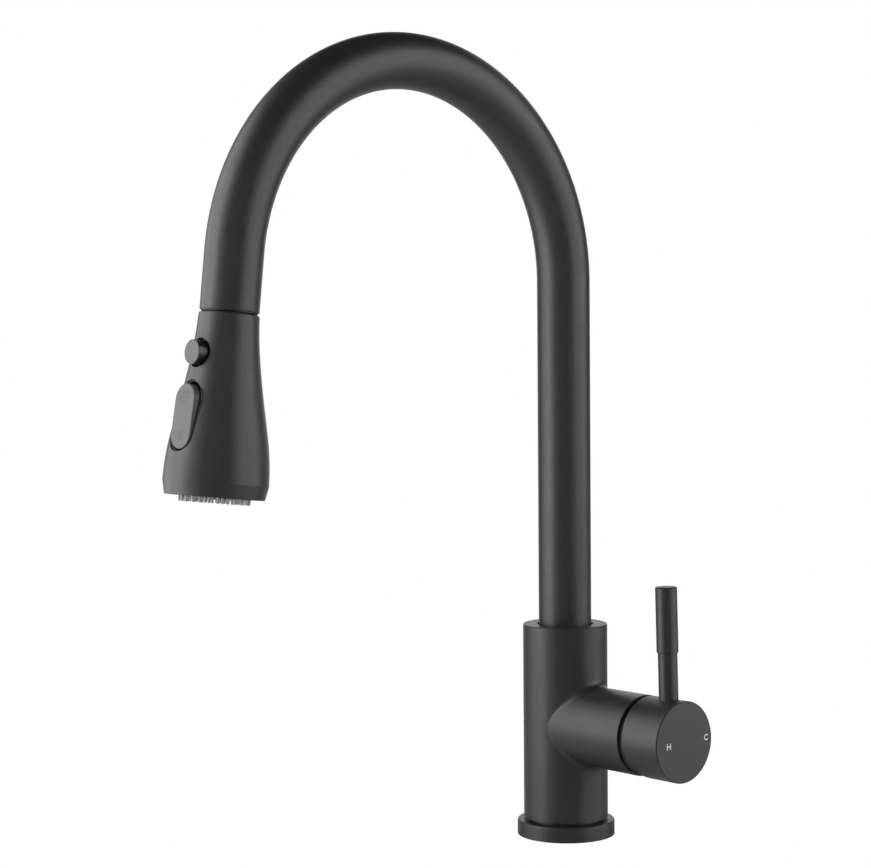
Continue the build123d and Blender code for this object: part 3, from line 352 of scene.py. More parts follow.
finishes = {
    "black_coat": surface("black_coat", (0.021, 0.021, 0.023), 0.43, 1900, 0.00006),
    "black_shell": surface("black_shell", (0.023, 0.023, 0.025), 0.44, 1900, 0.00006),
    "black_button": surface("black_button", (0.075, 0.075, 0.077), 0.5, 3200, 0.00008),
    "black_plastic": surface("black_plastic", (0.014, 0.014, 0.015), 0.5, 2400, 0.00005),
    "rubber": surface("rubber", (0.018, 0.018, 0.018), 0.72, 1500, 0.0001, shade=0.25),
    "silicone": surface("silicone", (0.5, 0.5, 0.5), 0.5, 1200, 0.00004, dusty=0.1,
                        Subsurface_Weight=0.15, Subsurface_Scale=0.001),
    "grey_plastic": surface("grey_plastic", (0.36, 0.36, 0.36), 0.4, 2000, 0.00003),
    "ceramic": surface("ceramic", (0.8, 0.79, 0.76), 0.25, 3500, 0.00001, shade=0.04),
    "white_mark": surface("white_mark", (0.78, 0.78, 0.78), 0.45, 2600, 0.00002, shade=0.04),
    "hose_braid": surface("hose_braid", (0.03, 0.03, 0.032), 0.42, 2600, 0.00005, Sheen_Weight=0.3,
                          Sheen_Roughness=0.4),
}
print("painted and moulded finishes", sorted(finishes))

# %% [markdown]
# Bare metal shows how it was worked. The brass and the steel here are turned on a lathe or drawn
# through a die, which leaves fine lines. Noise that is stretched hard along one direction makes lines
# without a repeating pattern. A darker film in patches keeps the brass from looking freshly polished.

# %% Worked metal
def worked_metal(name, colour, film, roughness, line_scale):
    """A bare metal with fine working lines and a thin uneven film."""
    material = bpy.data.materials.new(name)
    material.use_nodes = True
    tree = material.node_tree
    shader = tree.nodes["Principled BSDF"]
    shader.inputs["Metallic"].default_value = 1.0
    where = add(tree, "ShaderNodeTexCoord").outputs["Object"]
    stretched = add(tree, "ShaderNodeMapping", {"Vector": where, "Scale": (0.05, 0.05, 1.0)})
    lines = add(tree, "ShaderNodeTexNoise", {"Vector": stretched.outputs["Vector"],
                                             "Scale": line_scale, "Detail": 3.0})
    hands = add(tree, "ShaderNodeGroup", node_tree=handling)
    hands.inputs["Scale"].default_value = 120.0
    mixed = add(tree, "ShaderNodeMix", {"Factor": hands.outputs["Mask"], "A": (*colour, 1),
                                        "B": (*film, 1)}, data_type="RGBA")
    tree.links.new(mixed.outputs["Result"], shader.inputs["Base Color"])
    uneven = add(tree, "ShaderNodeMapRange", {"Value": lines.outputs["Fac"],
                                              "To Min": roughness - 0.08, "To Max": roughness + 0.12})
    tree.links.new(uneven.outputs["Result"], shader.inputs["Roughness"])
    bump = add(tree, "ShaderNodeBump", {"Height": lines.outputs["Fac"], "Distance": 0.00002,
                                        "Strength": 0.5})
    tree.links.new(bump.outputs["Normal"], shader.inputs["Normal"])
    return material


finishes["brass"] = worked_metal("brass", (0.62, 0.46, 0.2), (0.42, 0.29, 0.12), 0.3, 5000)
finishes["steel"] = worked_metal("steel", (0.55, 0.55, 0.56), (0.42, 0.42, 0.43), 0.28, 6000)
for name, node in nodes.items():
    node.data.materials.clear()
    node.data.materials.append(finishes[slot_of[name]])
print("finishes on", len(nodes), "CAD nodes")

# %% [markdown]
# ## The bent spout tube
#
# The real tube is drawn, bent on a mandrel and polished before it is coated, so its bend is an even
# curve with no flats. It could be a curve object with a bevel, but a skin of rings also gives the wall
# at both ends and its rounded lips, and the rings are no more than a degree and a half apart.

# %% Spout tube
tube_low, tube_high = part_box("spout_tube")
TUBE_R = (tube_high.x - tube_low.x) / 2
TUBE_WALL = 1.2 * MM
TUBE_START = tube_low.z
TUBE_END = SEAM_AT - 0.6 * MM
LIP = 0.25 * MM
RING_TURN = math.radians(1.5)
wall = soften([(TUBE_R - TUBE_WALL, TUBE_START), (TUBE_R, TUBE_START), (TUBE_R, TUBE_END),
               (TUBE_R - TUBE_WALL, TUBE_END)], LIP)
bent_tube = skin("bent_tube", spaced(wall, ARC_R * RING_TURN), on_route, around=112)
bent_tube.data.materials.append(finishes["black_coat"])
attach(bent_tube, "spout")
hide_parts("spout_tube")
print("bent tube", len(bent_tube.data.polygons), "faces, radius", round(TUBE_R / MM, 2), "mm")

# %% [markdown]
# ## Growing pieces with Geometry Nodes
#
# Nozzles, honeycomb cells and braid strands repeat by the dozen. A node tree that takes a count and a
# size says the rule once. The tree runs as a modifier on a small starting mesh, its result is copied
# into a plain mesh, and the modifier goes away, so what is left is ordinary geometry.

# %% Running a tree
def grow(name, group, start, **values):
    """Runs a geometry tree on a start object and returns the result as a plain mesh object."""
    modifier = start.modifiers.new(name, "NODES")
    modifier.node_group = group
    for item in group.interface.items_tree:
        if item.in_out == "INPUT" and item.name in values:
            modifier[item.identifier] = values[item.name]
    result = start.evaluated_get(bpy.context.evaluated_depsgraph_get())
    mesh = bpy.data.meshes.new_from_object(result)
    start.modifiers.remove(modifier)
    bpy.data.objects.remove(start)
    made = bpy.data.objects.new(name, mesh)
    bpy.context.scene.collection.objects.link(made)
    return made


def empty_start(name):
    """A mesh object with nothing in it, for a tree that makes everything itself."""
    start = bpy.data.objects.new(name, bpy.data.meshes.new(name))
    bpy.context.scene.collection.objects.link(start)
    return start


print("trees run on plain start objects")

# %% [markdown]
# ## Soft nozzles
#
# The spray face is one silicone mat whose nozzles poke through holes in a hard plate. One nozzle is a
# small turned cone with a rounded lip and a bored hole. The tree sets copies of it on a circle, each
# a little different in tilt, as soft mouldings are.

# %% Nozzle ring tree
nozzle_tree, given, out = group_of(
    "GeometryNodeTree", "nozzle_ring",
    [("Geometry", "Geometry"), ("Nozzle", "Object"), ("Count", "Int", 12), ("Ring Radius", "Float", 0.01),
     ("Tilt", "Float", 0.04), ("Seed", "Int", 3), ("Finish", "Material")], [("Geometry", "Geometry")])
circle = add(nozzle_tree, "GeometryNodeMeshCircle", {"Vertices": given["Count"],
                                                     "Radius": given["Ring Radius"]})
one = add(nozzle_tree, "GeometryNodeObjectInfo", {"Object": given["Nozzle"]})
less = math_node(nozzle_tree, "MULTIPLY", given["Tilt"], -1.0)
low = add(nozzle_tree, "ShaderNodeCombineXYZ", {"X": less, "Y": less})
high = add(nozzle_tree, "ShaderNodeCombineXYZ", {"X": given["Tilt"], "Y": given["Tilt"]})
leaning = add(nozzle_tree, "FunctionNodeRandomValue", {"Min": low.outputs[0], "Max": high.outputs[0],
                                                       "Seed": given["Seed"]}, data_type="FLOAT_VECTOR")
copies = add(nozzle_tree, "GeometryNodeInstanceOnPoints", {
    "Points": circle.outputs["Mesh"], "Instance": one.outputs["Geometry"],
    "Rotation": leaning.outputs["Value"]})
real = add(nozzle_tree, "GeometryNodeRealizeInstances", {"Geometry": copies.outputs["Instances"]})
coated = add(nozzle_tree, "GeometryNodeSetMaterial", {"Geometry": real.outputs["Geometry"],
                                                      "Material": given["Finish"]})
nozzle_tree.links.new(coated.outputs["Geometry"], out["Geometry"])

# %% Soft nozzle mat
NOZZLE_RINGS = ((10.9 * MM, 12), (13.6 * MM, 18), (16.2 * MM, 24))
MAT_TOP = 81.0 * MM
MAT_FACE = 83.0 * MM
NOZZLE_TIP = 88.9 * MM
NOZZLE_FOOT_R = 0.9 * MM
NOZZLE_TIP_R = 0.62 * MM
NOZZLE_BORE_R = 0.3 * MM
straight_z = straight(Vector((0, 0, 0)), Vector((0, 0, 1)))
nozzle_outline = soften([(NOZZLE_BORE_R, MAT_FACE - 0.5 * MM), (NOZZLE_FOOT_R, MAT_FACE - 0.5 * MM),
                         (NOZZLE_TIP_R, NOZZLE_TIP), (NOZZLE_BORE_R, NOZZLE_TIP)], 0.16 * MM, steps=3)
mat_rings = []
for seed, (ring_radius, count) in enumerate(NOZZLE_RINGS):
    # The copies are set about the mat's plane, so that a small tilt moves only their tips.
    nozzle = skin("nozzle", [(r, d - MAT_FACE) for r, d in nozzle_outline], straight_z, around=20)
    ring = grow("nozzle_ring", nozzle_tree, empty_start("ring"), Nozzle=nozzle, Count=count,
                **{"Ring Radius": ring_radius, "Finish": finishes["silicone"], "Seed": seed})
    ring.data.transform(Matrix.Translation((0, 0, MAT_FACE)))
    mat_rings.append(ring)
    bpy.data.objects.remove(nozzle)
sheet_outline = soften([(9.5 * MM, MAT_TOP), (19.3 * MM, MAT_TOP), (19.3 * MM, MAT_FACE),
                        (9.5 * MM, MAT_FACE)], 0.2 * MM)
mat_sheet = skin("mat_sheet", sheet_outline, straight_z)
mat_sheet.data.materials.append(finishes["silicone"])
soft_mat = joined("soft_nozzle_mat", [mat_sheet, *mat_rings])
soft_mat.data.transform(HEAD)
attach(soft_mat, "spray_head")
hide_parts("nozzle_mat")
print("nozzles", sum(count for _, count in NOZZLE_RINGS), "in", len(NOZZLE_RINGS), "rings")

# %% [markdown]
# ## Honeycomb outlet
#
# The aerated stream leaves through a small insert: a ring with a honeycomb of thin walls that keeps
# the stream straight. The cells sit on a staggered grid. The tree shifts every second row by half a
# cell, drops the cells outside the ring, and sets one hexagonal wall on each point that is left.

# %% Honeycomb tree
honeycomb_tree, given, out = group_of(
    "GeometryNodeTree", "honeycomb",
    [("Geometry", "Geometry"), ("Cell", "Float", 0.0014), ("Wall", "Float", 0.00022),
     ("Depth", "Float", 0.0016), ("Reach", "Float", 0.0062), ("Finish", "Material")],
    [("Geometry", "Geometry")])
HALF_ROWS = 6
row_step = math_node(honeycomb_tree, "MULTIPLY", given["Cell"], math.sqrt(3) / 2)
wide = math_node(honeycomb_tree, "MULTIPLY", given["Cell"], 2.0 * HALF_ROWS)
tall = math_node(honeycomb_tree, "MULTIPLY", row_step, 2.0 * HALF_ROWS)
grid = add(honeycomb_tree, "GeometryNodeMeshGrid", {"Size X": wide, "Size Y": tall,
                                                    "Vertices X": 2 * HALF_ROWS + 1,
                                                    "Vertices Y": 2 * HALF_ROWS + 1})
spot = add(honeycomb_tree, "GeometryNodeInputPosition").outputs[0]
row = math_node(honeycomb_tree, "DIVIDE", add(honeycomb_tree, "ShaderNodeSeparateXYZ",
                                              {0: spot}).outputs["Y"], row_step)
whole = add(honeycomb_tree, "ShaderNodeMath", {0: row}, operation="ROUND").outputs[0]
odd = math_node(honeycomb_tree, "MODULO", whole, 2.0)
half = math_node(honeycomb_tree, "MULTIPLY", math_node(honeycomb_tree, "MULTIPLY", odd, 0.5),
                 given["Cell"])
shift = add(honeycomb_tree, "ShaderNodeCombineXYZ", {"X": half})
staggered = add(honeycomb_tree, "GeometryNodeSetPosition", {"Geometry": grid.outputs["Mesh"],
                                                            "Offset": shift.outputs[0]})
away = add(honeycomb_tree, "ShaderNodeVectorMath", {0: spot}, operation="LENGTH").outputs["Value"]
outside = math_node(honeycomb_tree, "GREATER_THAN", away, given["Reach"])
kept = add(honeycomb_tree, "GeometryNodeDeleteGeometry", {"Geometry": staggered.outputs["Geometry"],
                                                          "Selection": outside})
hexagon = add(honeycomb_tree, "GeometryNodeCurvePrimitiveCircle", {
    "Resolution": 6, "Radius": math_node(honeycomb_tree, "MULTIPLY", given["Cell"], 1 / math.sqrt(3))})
bar = add(honeycomb_tree, "GeometryNodeCurvePrimitiveQuadrilateral", {"Width": given["Wall"],
                                                                      "Height": given["Depth"]})
cell = add(honeycomb_tree, "GeometryNodeCurveToMesh", {"Curve": hexagon.outputs["Curve"],
                                                       "Profile Curve": bar.outputs["Curve"]})
comb = add(honeycomb_tree, "GeometryNodeInstanceOnPoints", {
    "Points": kept.outputs["Geometry"], "Instance": cell.outputs["Mesh"],
    "Rotation": (0, 0, math.radians(30))})
real = add(honeycomb_tree, "GeometryNodeRealizeInstances", {"Geometry": comb.outputs["Instances"]})
coated = add(honeycomb_tree, "GeometryNodeSetMaterial", {"Geometry": real.outputs["Geometry"],
                                                         "Material": given["Finish"]})
honeycomb_tree.links.new(coated.outputs["Geometry"], out["Geometry"])

# %% Outlet insert
OUTLET_R = 8.1 * MM
OUTLET_BORE = 6.9 * MM
OUTLET_TOP = 74.0 * MM
OUTLET_FACE = 87.2 * MM
COMB_DEPTH = 1.6 * MM
COMB_FACE = 86.2 * MM
sleeve = skin("sleeve", soften([(OUTLET_BORE, OUTLET_TOP), (OUTLET_R, OUTLET_TOP),
                                (OUTLET_R, OUTLET_FACE - 0.6 * MM), (7.4 * MM, OUTLET_FACE),
                                (OUTLET_BORE, OUTLET_FACE)], 0.15 * MM), straight_z)
sleeve.data.materials.append(finishes["black_plastic"])
comb = grow("comb", honeycomb_tree, empty_start("comb"), Cell=1.4 * MM, Wall=0.22 * MM,
            Depth=COMB_DEPTH, Reach=6.5 * MM, Finish=finishes["grey_plastic"])
comb.data.transform(Matrix.Translation((0, 0, COMB_FACE - COMB_DEPTH / 2)))
outlet_insert = joined("outlet_insert", [sleeve, comb])
for polygon in outlet_insert.data.polygons:
    polygon.use_smooth = polygon.material_index == 0
outlet_insert.data.transform(HEAD)
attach(outlet_insert, "spray_head")
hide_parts("aerator")
print("outlet insert", len(outlet_insert.data.polygons), "faces")

# %% [markdown]
# ## Braided hose
#
# A spray hose is a rubber tube in a woven nylon sleeve. Eight flat strands wind one way and eight the
# other, and each passes over and under those it meets. All crossings around the hose happen at the
# same turn of the helix, so one cosine of the twist lifts one family while it lowers the other.
#
# The hose hides inside the spout and comes out with the spray head. Most of it stays in the spout. A
# short stretch between the spout and the hose end is the part that draws out as the head is pulled;
# here it is built at rest and fixed in place. The strands in that stretch are packed tightly at rest, by
# just as much as the pull spreads them, so the weave would be even with the head right down.

# %% Where the hose draws out
PULL = joint_of["head_pull"]["range_m"][1]
HOSE_LOW = 30.0 * MM
HOSE_END = SEAM_AT - 27.9 * MM        # just inside the crimped ferrule
STRETCH_START = SEAM_AT - 60.0 * MM
STRETCH_END = SEAM_AT - 28.3 * MM
SAMPLES = 4000
stretch_from, _ = route(STRETCH_START)
stretch_to, _ = route(STRETCH_END)


def pulled(distance):
    """Where a point of the hose stands along the spout when the head is fully down."""
    if distance < STRETCH_START:
        return distance
    point, _ = route(distance)
    span = stretch_to - stretch_from
    t = min(max((point - stretch_from).dot(span) / span.length_squared, 0), 1)
    return distance + PULL * t * t * (3 - 2 * t)


def held_stops(step):
    """Distances along the part of the hose that stays in the spout."""
    return list(np.arange(HOSE_LOW, STRETCH_START, step)) + [STRETCH_START]


def drawn_stops(step):
    """Distances along the part that draws out, a step apart once it is drawn out."""
    tight = np.linspace(STRETCH_START, HOSE_END, SAMPLES)
    drawn = np.array([pulled(d) for d in tight])
    return list(np.interp(np.arange(drawn[0], drawn[-1], step), drawn, tight)) + [HOSE_END]


print("hose stretch", round((HOSE_END - STRETCH_START) / MM, 1), "mm grows by", round(PULL / MM), "mm")

# %% Braid tree
STRANDS = 8
braid_tree, given, out = group_of(
    "GeometryNodeTree", "braid",
    [("Geometry", "Geometry"), ("Strands", "Int", STRANDS), ("Radius", "Float", 0.0056),
     ("Strand Width", "Float", 0.0024), ("Strand Thickness", "Float", 0.0004),
     ("Weave", "Float", 0.03), ("Finish", "Material")], [("Geometry", "Geometry")])
line = add(braid_tree, "GeometryNodeMeshToCurve", {"Mesh": given["Geometry"]})
twist = add(braid_tree, "GeometryNodeInputNamedAttribute", {"Name": "twist"},
            data_type="FLOAT").outputs["Attribute"]
index = add(braid_tree, "GeometryNodeInputIndex").outputs[0]
share = math_node(braid_tree, "DIVIDE", 2 * math.pi, given["Strands"])
heading = add(braid_tree, "ShaderNodeCombineXYZ", {"Z": math_node(braid_tree, "MULTIPLY", index, share)})
seats = add(braid_tree, "GeometryNodeMeshCircle", {"Vertices": given["Strands"],
                                                   "Radius": given["Radius"]})
oval = add(braid_tree, "GeometryNodeCurvePrimitiveCircle", {"Resolution": 6, "Radius": 0.5})
flat = add(braid_tree, "ShaderNodeCombineXYZ", {"X": given["Strand Thickness"],
                                                "Y": given["Strand Width"], "Z": 1.0})
section = add(braid_tree, "GeometryNodeTransform", {"Geometry": oval.outputs["Curve"],
                                                    "Scale": flat.outputs[0]})
family = add(braid_tree, "GeometryNodeInstanceOnPoints", {
    "Points": seats.outputs["Mesh"], "Instance": section.outputs["Geometry"],
    "Rotation": heading.outputs[0]})
outline = add(braid_tree, "GeometryNodeRealizeInstances", {"Geometry": family.outputs["Instances"]})
beat = add(braid_tree, "ShaderNodeMath", {0: math_node(braid_tree, "MULTIPLY", twist, given["Strands"])},
           operation="COSINE").outputs[0]
both = add(braid_tree, "GeometryNodeJoinGeometry")
for way in (1.0, -1.0):
    turned = add(braid_tree, "GeometryNodeSetCurveTilt", {
        "Curve": line.outputs["Curve"], "Tilt": math_node(braid_tree, "MULTIPLY", twist, way)})
    lift = math_node(braid_tree, "MULTIPLY", math_node(braid_tree, "MULTIPLY", beat, way), given["Weave"])
    size = math_node(braid_tree, "ADD", lift, 1.0)
    sweep = add(braid_tree, "GeometryNodeCurveToMesh", {"Curve": turned.outputs["Curve"],
                                                        "Profile Curve": outline.outputs["Geometry"],
                                                        "Scale": size, "Fill Caps": True})
    braid_tree.links.new(sweep.outputs["Mesh"], both.inputs["Geometry"])
real = add(braid_tree, "GeometryNodeRealizeInstances", {"Geometry": both.outputs["Geometry"]})
coated = add(braid_tree, "GeometryNodeSetMaterial", {"Geometry": real.outputs["Geometry"],
                                                     "Material": given["Finish"]})
braid_tree.links.new(coated.outputs["Geometry"], out["Geometry"])

# %% Braid and rubber tube
HOSE_R = 6.0 * MM
HOSE_BORE = 4.0 * MM
STRAND_WIDTH = 2.4 * MM
STRAND_THICKNESS = 0.4 * MM
WEAVE_LIFT = 0.17 * MM
braid_r = HOSE_R - STRAND_THICKNESS / 2 - WEAVE_LIFT
TWIST_PER_METRE = 1.0 / braid_r
LINER_R = braid_r - WEAVE_LIFT - 0.05 * MM


def woven(name, stops):
    """The braid along the given distances, as a plain mesh object."""
    guide = bpy.data.meshes.new("hose_guide")
    guide.from_pydata([route(d)[0] for d in stops], [(i, i + 1) for i in range(len(stops) - 1)], [])
    guide.attributes.new("twist", "FLOAT", "POINT").data.foreach_set(
        "value", [pulled(d) * TWIST_PER_METRE for d in stops])
    start = bpy.data.objects.new("hose_guide", guide)
    bpy.context.scene.collection.objects.link(start)
    made = grow(name, braid_tree, start, Radius=braid_r, Weave=WEAVE_LIFT / braid_r,
                Finish=finishes["hose_braid"],
                **{"Strand Width": STRAND_WIDTH, "Strand Thickness": STRAND_THICKNESS})
    made.data.shade_smooth()
    return made


def lined(name, stops):
    """The rubber tube inside the braid along the given distances."""
    tube = [(LINER_R, d) for d in stops] + [(HOSE_BORE, d) for d in reversed(stops)]
    made = skin(name, tube, on_route, around=40)
    made.data.materials.append(finishes["rubber"])
    return made


# Strands are curved, so their stations stand closer together than the rubber tube's.
held = [woven("held_braid", held_stops(1.3 * MM)), lined("held_liner", held_stops(6.0 * MM))]
drawn = [woven("hose_braid", drawn_stops(0.6 * MM)), lined("hose_liner", drawn_stops(2.0 * MM))]
for piece in held:
    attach(piece, "spout")
for piece in drawn:
    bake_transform(piece)
for piece in held + drawn:
    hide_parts("spray_hose")
    print(piece.name, sum(len(p.vertices) - 2 for p in piece.data.polygons), "triangles")

# %% [markdown]
# ## Coil springs
#
# Two small coil springs sit in the spray head: one under the pause button and one behind the check
# valve's poppet. Each is a wire swept along a helix, closed at both ends, and fixed to the spray head.

# %% Springs
WIRE_R = 0.25 * MM
STEPS_PER_TURN = 40


def coil_spring(name, foot, along, radius, height, turns):
    """A round wire on a helix about a line from foot, with closed ends."""
    side = along.orthogonal().normalized()
    other = along.cross(side)

    def on_helix(share):
        turn = 2 * math.pi * turns * share
        spoke = side * math.cos(turn) + other * math.sin(turn)
        return foot + along * height * share + spoke * radius, spoke, along

    steps = turns * STEPS_PER_TURN
    wire = [(0, 0)] + [(WIRE_R, i / steps) for i in range(steps + 1)] + [(0, 1)]
    made = skin(name, wire, on_helix, around=12)
    made.data.materials.append(finishes["steel"])
    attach(made, "spray_head")
    return made


COILS = 4
BUTTON_S = 20.2 * MM
BUTTON_COIL = (5.4 * MM, 2.4 * MM, 4.4 * MM)     # foot, radius, height
POPPET_COIL = (10.1 * MM, 3.35 * MM, 4.2 * MM)
foot, coil_r, coil_h = BUTTON_COIL
button_coil = coil_spring("button_coil", in_head(foot, BUTTON_S), FRONT, coil_r, coil_h, COILS)
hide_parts("pause_spring")
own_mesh(button_coil)
foot, coil_r, coil_h = POPPET_COIL
poppet_coil = coil_spring("poppet_coil", in_head(0, foot), OUTLET, coil_r, coil_h, COILS)
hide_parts("check_valve_spring")
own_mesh(poppet_coil)
print("springs", button_coil.name, poppet_coil.name)

# %% [markdown]
# ## Pause button
#
# The button is one moulding, but its face is spark eroded to a fine matt and its side is left as bright
# as the mould. It slides in a ring, and the dark crescent around it is partly that glossy side and partly
# painted shade: the side is given a far darker colour than the face, standing in for the shade in the
# ring's gap. A turned copy of the button carries both finishes.

# %% Pause button
# The side's colour is far darker than the face's: painted shade of the gap in the ring, on top of the
# side's gloss.
finishes["glossy_side_painted_shade"] = surface("glossy_side_painted_shade", (0.012, 0.012, 0.013), 0.22, 2600, 0.00001, dusty=0.0)
BUTTON_R = 5.8 * MM
BUTTON_FLANGE_R = 6.7 * MM
BUTTON_LOW = 10.2 * MM
BUTTON_FLANGE = 11.0 * MM
BUTTON_FACE = 19.6 * MM
BUTTON_BORE = (1.25 * MM, 13.2 * MM)
button_outline = [(0, BUTTON_BORE[1]), BUTTON_BORE, (BUTTON_BORE[0], BUTTON_LOW),
                  (BUTTON_FLANGE_R, BUTTON_LOW),
                  (BUTTON_FLANGE_R, BUTTON_FLANGE), (BUTTON_R, BUTTON_FLANGE),
                  (BUTTON_R, BUTTON_FACE), (0, BUTTON_FACE)]
button_cap = skin("button_cap", soften(button_outline, 0.5 * MM, steps=6),
                  straight(in_head(0, BUTTON_S), FRONT))
button_cap.data.materials.append(finishes["black_button"])
# The second finish is the side's, darker as painted shade.
button_cap.data.materials.append(finishes["glossy_side_painted_shade"])
FACE_TURN = 0.35  # faces that look forwards more than this are matt
for polygon in button_cap.data.polygons:
    polygon.material_index = 0 if polygon.normal.dot(FRONT) > FACE_TURN else 1
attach(button_cap, "pause_button")
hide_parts("pause_button")
print("button cap", len(button_cap.data.polygons), "faces")

# %% [markdown]
# ## Marks on the rocker
#
# The rocker chooses between a fanned spray and a single stream. Two small marks, printed in a slightly
# different black, say which end does what: three columns of dashes that spread out, and one narrow
# stream. Each dash is a thin rounded bar that stands a few hundredths of a millimetre off the face.

# %% Rocker marks
finishes["faint_print"] = surface("faint_print", (0.05, 0.05, 0.051), 0.62, 2600, 0.00002, dusty=0.0)
ROCKER_FACE_Y = 21.8 * MM
ROCKER_MIDDLE_S = 50.1 * MM
ROCKER_TILT = math.radians(3.3)
PRINT_LIFT = 0.03 * MM
PRINT_SUNK = 0.1 * MM
face_out = FRONT * math.cos(ROCKER_TILT) - OUTLET * math.sin(ROCKER_TILT)
face_down = FRONT * math.sin(ROCKER_TILT) + OUTLET * math.cos(ROCKER_TILT)
FACE = Matrix((ACROSS, face_down, ACROSS.cross(face_down))).transposed().to_4x4()
FACE.translation = in_head(ROCKER_FACE_Y, ROCKER_MIDDLE_S)
outward = 1 if ACROSS.cross(face_down).dot(face_out) > 0 else -1


def dash(x, down, length, width, angle):
    """A thin bar with round ends on the rocker's face, about the place (x, down) from its middle."""
    bm = bmesh.new()
    half = (length - width) / 2
    edge = [(math.cos(a) * width / 2 + (half if math.cos(a) > 0 else -half), math.sin(a) * width / 2)
            for a in [math.radians(15 + 30 * i) for i in range(12)]]
    turn = Matrix.Rotation(math.pi / 2 + angle, 4, "Z")
    corners = [turn @ Vector((px, py, 0)) + Vector((x, down, 0)) for px, py in edge]
    low = [bm.verts.new(c - Vector((0, 0, PRINT_SUNK * outward))) for c in corners]
    top = [bm.verts.new(c + Vector((0, 0, PRINT_LIFT * outward))) for c in corners]
    bm.faces.new(low)
    bm.faces.new(top)
    for i in range(len(edge)):
        j = (i + 1) % len(edge)
        bm.faces.new([low[i], low[j], top[j], top[i]])
    made = new_object("dash", bm)
    for polygon in made.data.polygons:
        polygon.use_smooth = False
    made.data.materials.append(finishes["faint_print"])
    return made


SPRAY_MARK_TOP = -11.8 * MM
STREAM_MARK_AT = 9.0 * MM
DASH = (1.5 * MM, 0.55 * MM)
STREAM = (4.2 * MM, 0.45 * MM)
STREAM_HALF_GAP = 0.8 * MM
ROW_STEP = 2.1 * MM
ROWS_TO_SOURCE = 4.6  # the columns fan out from a point this many rows above the first dash
FAN = math.radians(11)
dashes = []
for column in (-1, 0, 1):
    lean_out = column * FAN
    for row_index in range(3):
        out_by = (row_index + ROWS_TO_SOURCE) * ROW_STEP
        dashes.append(dash(math.sin(lean_out) * out_by, SPRAY_MARK_TOP + row_index * ROW_STEP + DASH[0] / 2,
                           *DASH, -lean_out))
for side in (-1, 1):
    dashes.append(dash(side * STREAM_HALF_GAP, STREAM_MARK_AT, *STREAM, 0.0))
rocker_marks = joined("rocker_marks", dashes)
for polygon in rocker_marks.data.polygons:
    polygon.use_smooth = False
rocker_marks.data.transform(FACE)
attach(rocker_marks, "rocker")
print("rocker marks", len(dashes), "dashes")

# %% [markdown]
# ## Studio
#
# Satin black shows its form only by what it reflects. Two tall soft lights, one on each side of the
# camera, draw the long bands on every tube: a bright one near the left edge and a dimmer one near the
# right, with black between them. The room itself is dark to the faucet, but the camera sees a white
# backdrop, and the floor is as pale as the backdrop. To the faucet the floor is a glossy white sheet: it
# mirrors the lights, which keeps the low parts from going dull.

# %% Floor and backdrop
def shown_white(tree, seen, unseen):
    """What the camera sees mixed with what every other ray sees."""
    camera_ray = add(tree, "ShaderNodeLightPath").outputs["Is Camera Ray"]
    return add(tree, "ShaderNodeMixShader", {"Fac": camera_ray, 1: unseen, 2: seen}).outputs[0]


FLOOR_HALF = 6.0
FLOOR_DROP = 0.1 * MM  # keeps the floor off the underside of the base
bm = bmesh.new()
bmesh.ops.create_grid(bm, x_segments=8, y_segments=8, size=FLOOR_HALF,
                      matrix=Matrix.Translation((0, 0, -FLOOR_DROP)))
floor = new_object("floor", bm)
pale = bpy.data.materials.new("pale_floor")
pale.use_nodes = True
tree = pale.node_tree
sheet_shader = tree.nodes["Principled BSDF"]
sheet_shader.inputs["Base Color"].default_value = (0.75, 0.75, 0.75, 1)
sheet_shader.inputs["Roughness"].default_value = 0.15
glow = add(tree, "ShaderNodeEmission", {"Color": (1, 1, 1, 1), "Strength": 1.0})
tree.links.new(shown_white(tree, glow.outputs[0], sheet_shader.outputs[0]),
               tree.nodes["Material Output"].inputs["Surface"])
floor.data.materials.append(pale)
world = bpy.data.worlds.new("studio")
world.use_nodes = True
bpy.context.scene.world = world
tree = world.node_tree
white = add(tree, "ShaderNodeBackground", {"Color": (1, 1, 1, 1), "Strength": 1.0})
dim = add(tree, "ShaderNodeBackground", {"Color": (1, 1, 1, 1), "Strength": 0.01})
tree.links.new(shown_white(tree, white.outputs[0], dim.outputs[0]),
               tree.nodes["World Output"].inputs["Surface"])

# %% Soft lights
MIDDLE = (0, -0.12, 0.26)


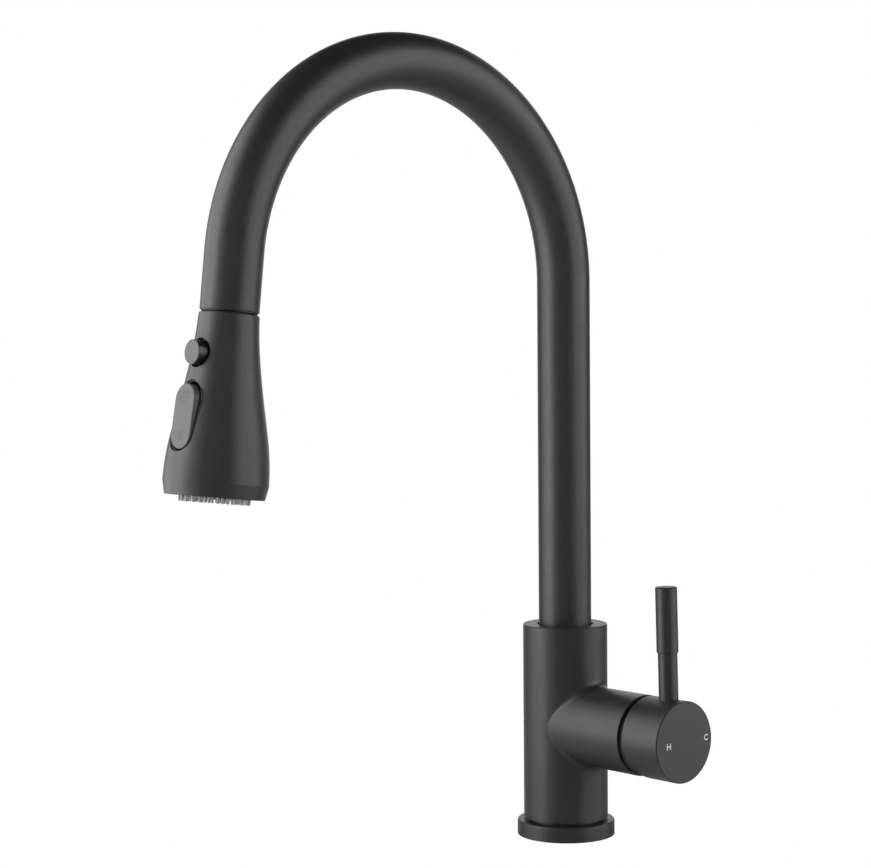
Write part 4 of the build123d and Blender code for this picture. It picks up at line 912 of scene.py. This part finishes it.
def softbox(name, place, width, height, radiance):
    """A soft light that faces the faucet and that the camera doesn't see."""
    light = bpy.data.lights.new(name, "AREA")
    light.shape = "RECTANGLE"
    light.size = width
    light.size_y = height
    light.energy = radiance * math.pi * width * height
    made = bpy.data.objects.new(name, light)
    towards = (Vector(MIDDLE) - Vector(place)).to_track_quat("-Z", "Y").to_matrix().to_4x4()
    made.matrix_world = Matrix.Translation(place) @ towards
    made.visible_camera = False
    bpy.context.scene.collection.objects.link(made)
    return made


# Each row is a name, a place, a width, a height and a radiance.
SOFTBOXES = (
    ("near_left", (-0.27, -0.40, 0.28), 0.45, 1.0, 2.5),
    ("left_strip", (-0.67, -1.47, 0.26), 0.45, 2.4, 3.0),
    ("front_left", (-0.10, -0.60, 0.26), 0.4, 1.0, 0.9),
    ("right_panel", (1.23, 0.78, 0.4), 1.2, 2.0, 1.9),
    ("right_front", (1.43, 0.20, 0.4), 0.6, 2.0, 1.7),
    ("right_back", (0.80, 1.20, 0.4), 0.6, 2.0, 1.7),
    ("camera_side", (1.0, -1.0, 0.7), 0.8, 0.8, 0.7),
    ("backdrop", (-1.2, 1.1, 0.6), 1.8, 1.4, 1.2))
lights = [softbox(*row) for row in SOFTBOXES]
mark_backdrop(floor, *lights)

# %% Camera
CAMERA_AT = (0.8261, -0.8274, 0.2713)
CAMERA_TURN = ((48.316, "Z"), (87.237, "X"), (-0.456, "Z"))  # degrees: heading, tilt and roll
camera_data = bpy.data.cameras.new("camera")
camera_data.sensor_width = 36.0
camera_data.lens = 90.6
camera_data.clip_start = 0.05
camera = bpy.data.objects.new("camera", camera_data)
turn_to = Matrix.Identity(4)
for degrees, axis in CAMERA_TURN:
    turn_to = turn_to @ Matrix.Rotation(math.radians(degrees), 4, axis)
camera.matrix_world = Matrix.Translation(CAMERA_AT) @ turn_to
bpy.context.scene.collection.objects.link(camera)
bpy.context.scene.camera = camera
bpy.context.scene.view_settings.view_transform = "Standard"
print("camera lens", camera_data.lens)

# %% [markdown]
# ## Bounds
#
# The last cell works out the box around the shown pieces, leaving out the floor.

# %% Finish
bpy.context.view_layer.update()
low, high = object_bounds()
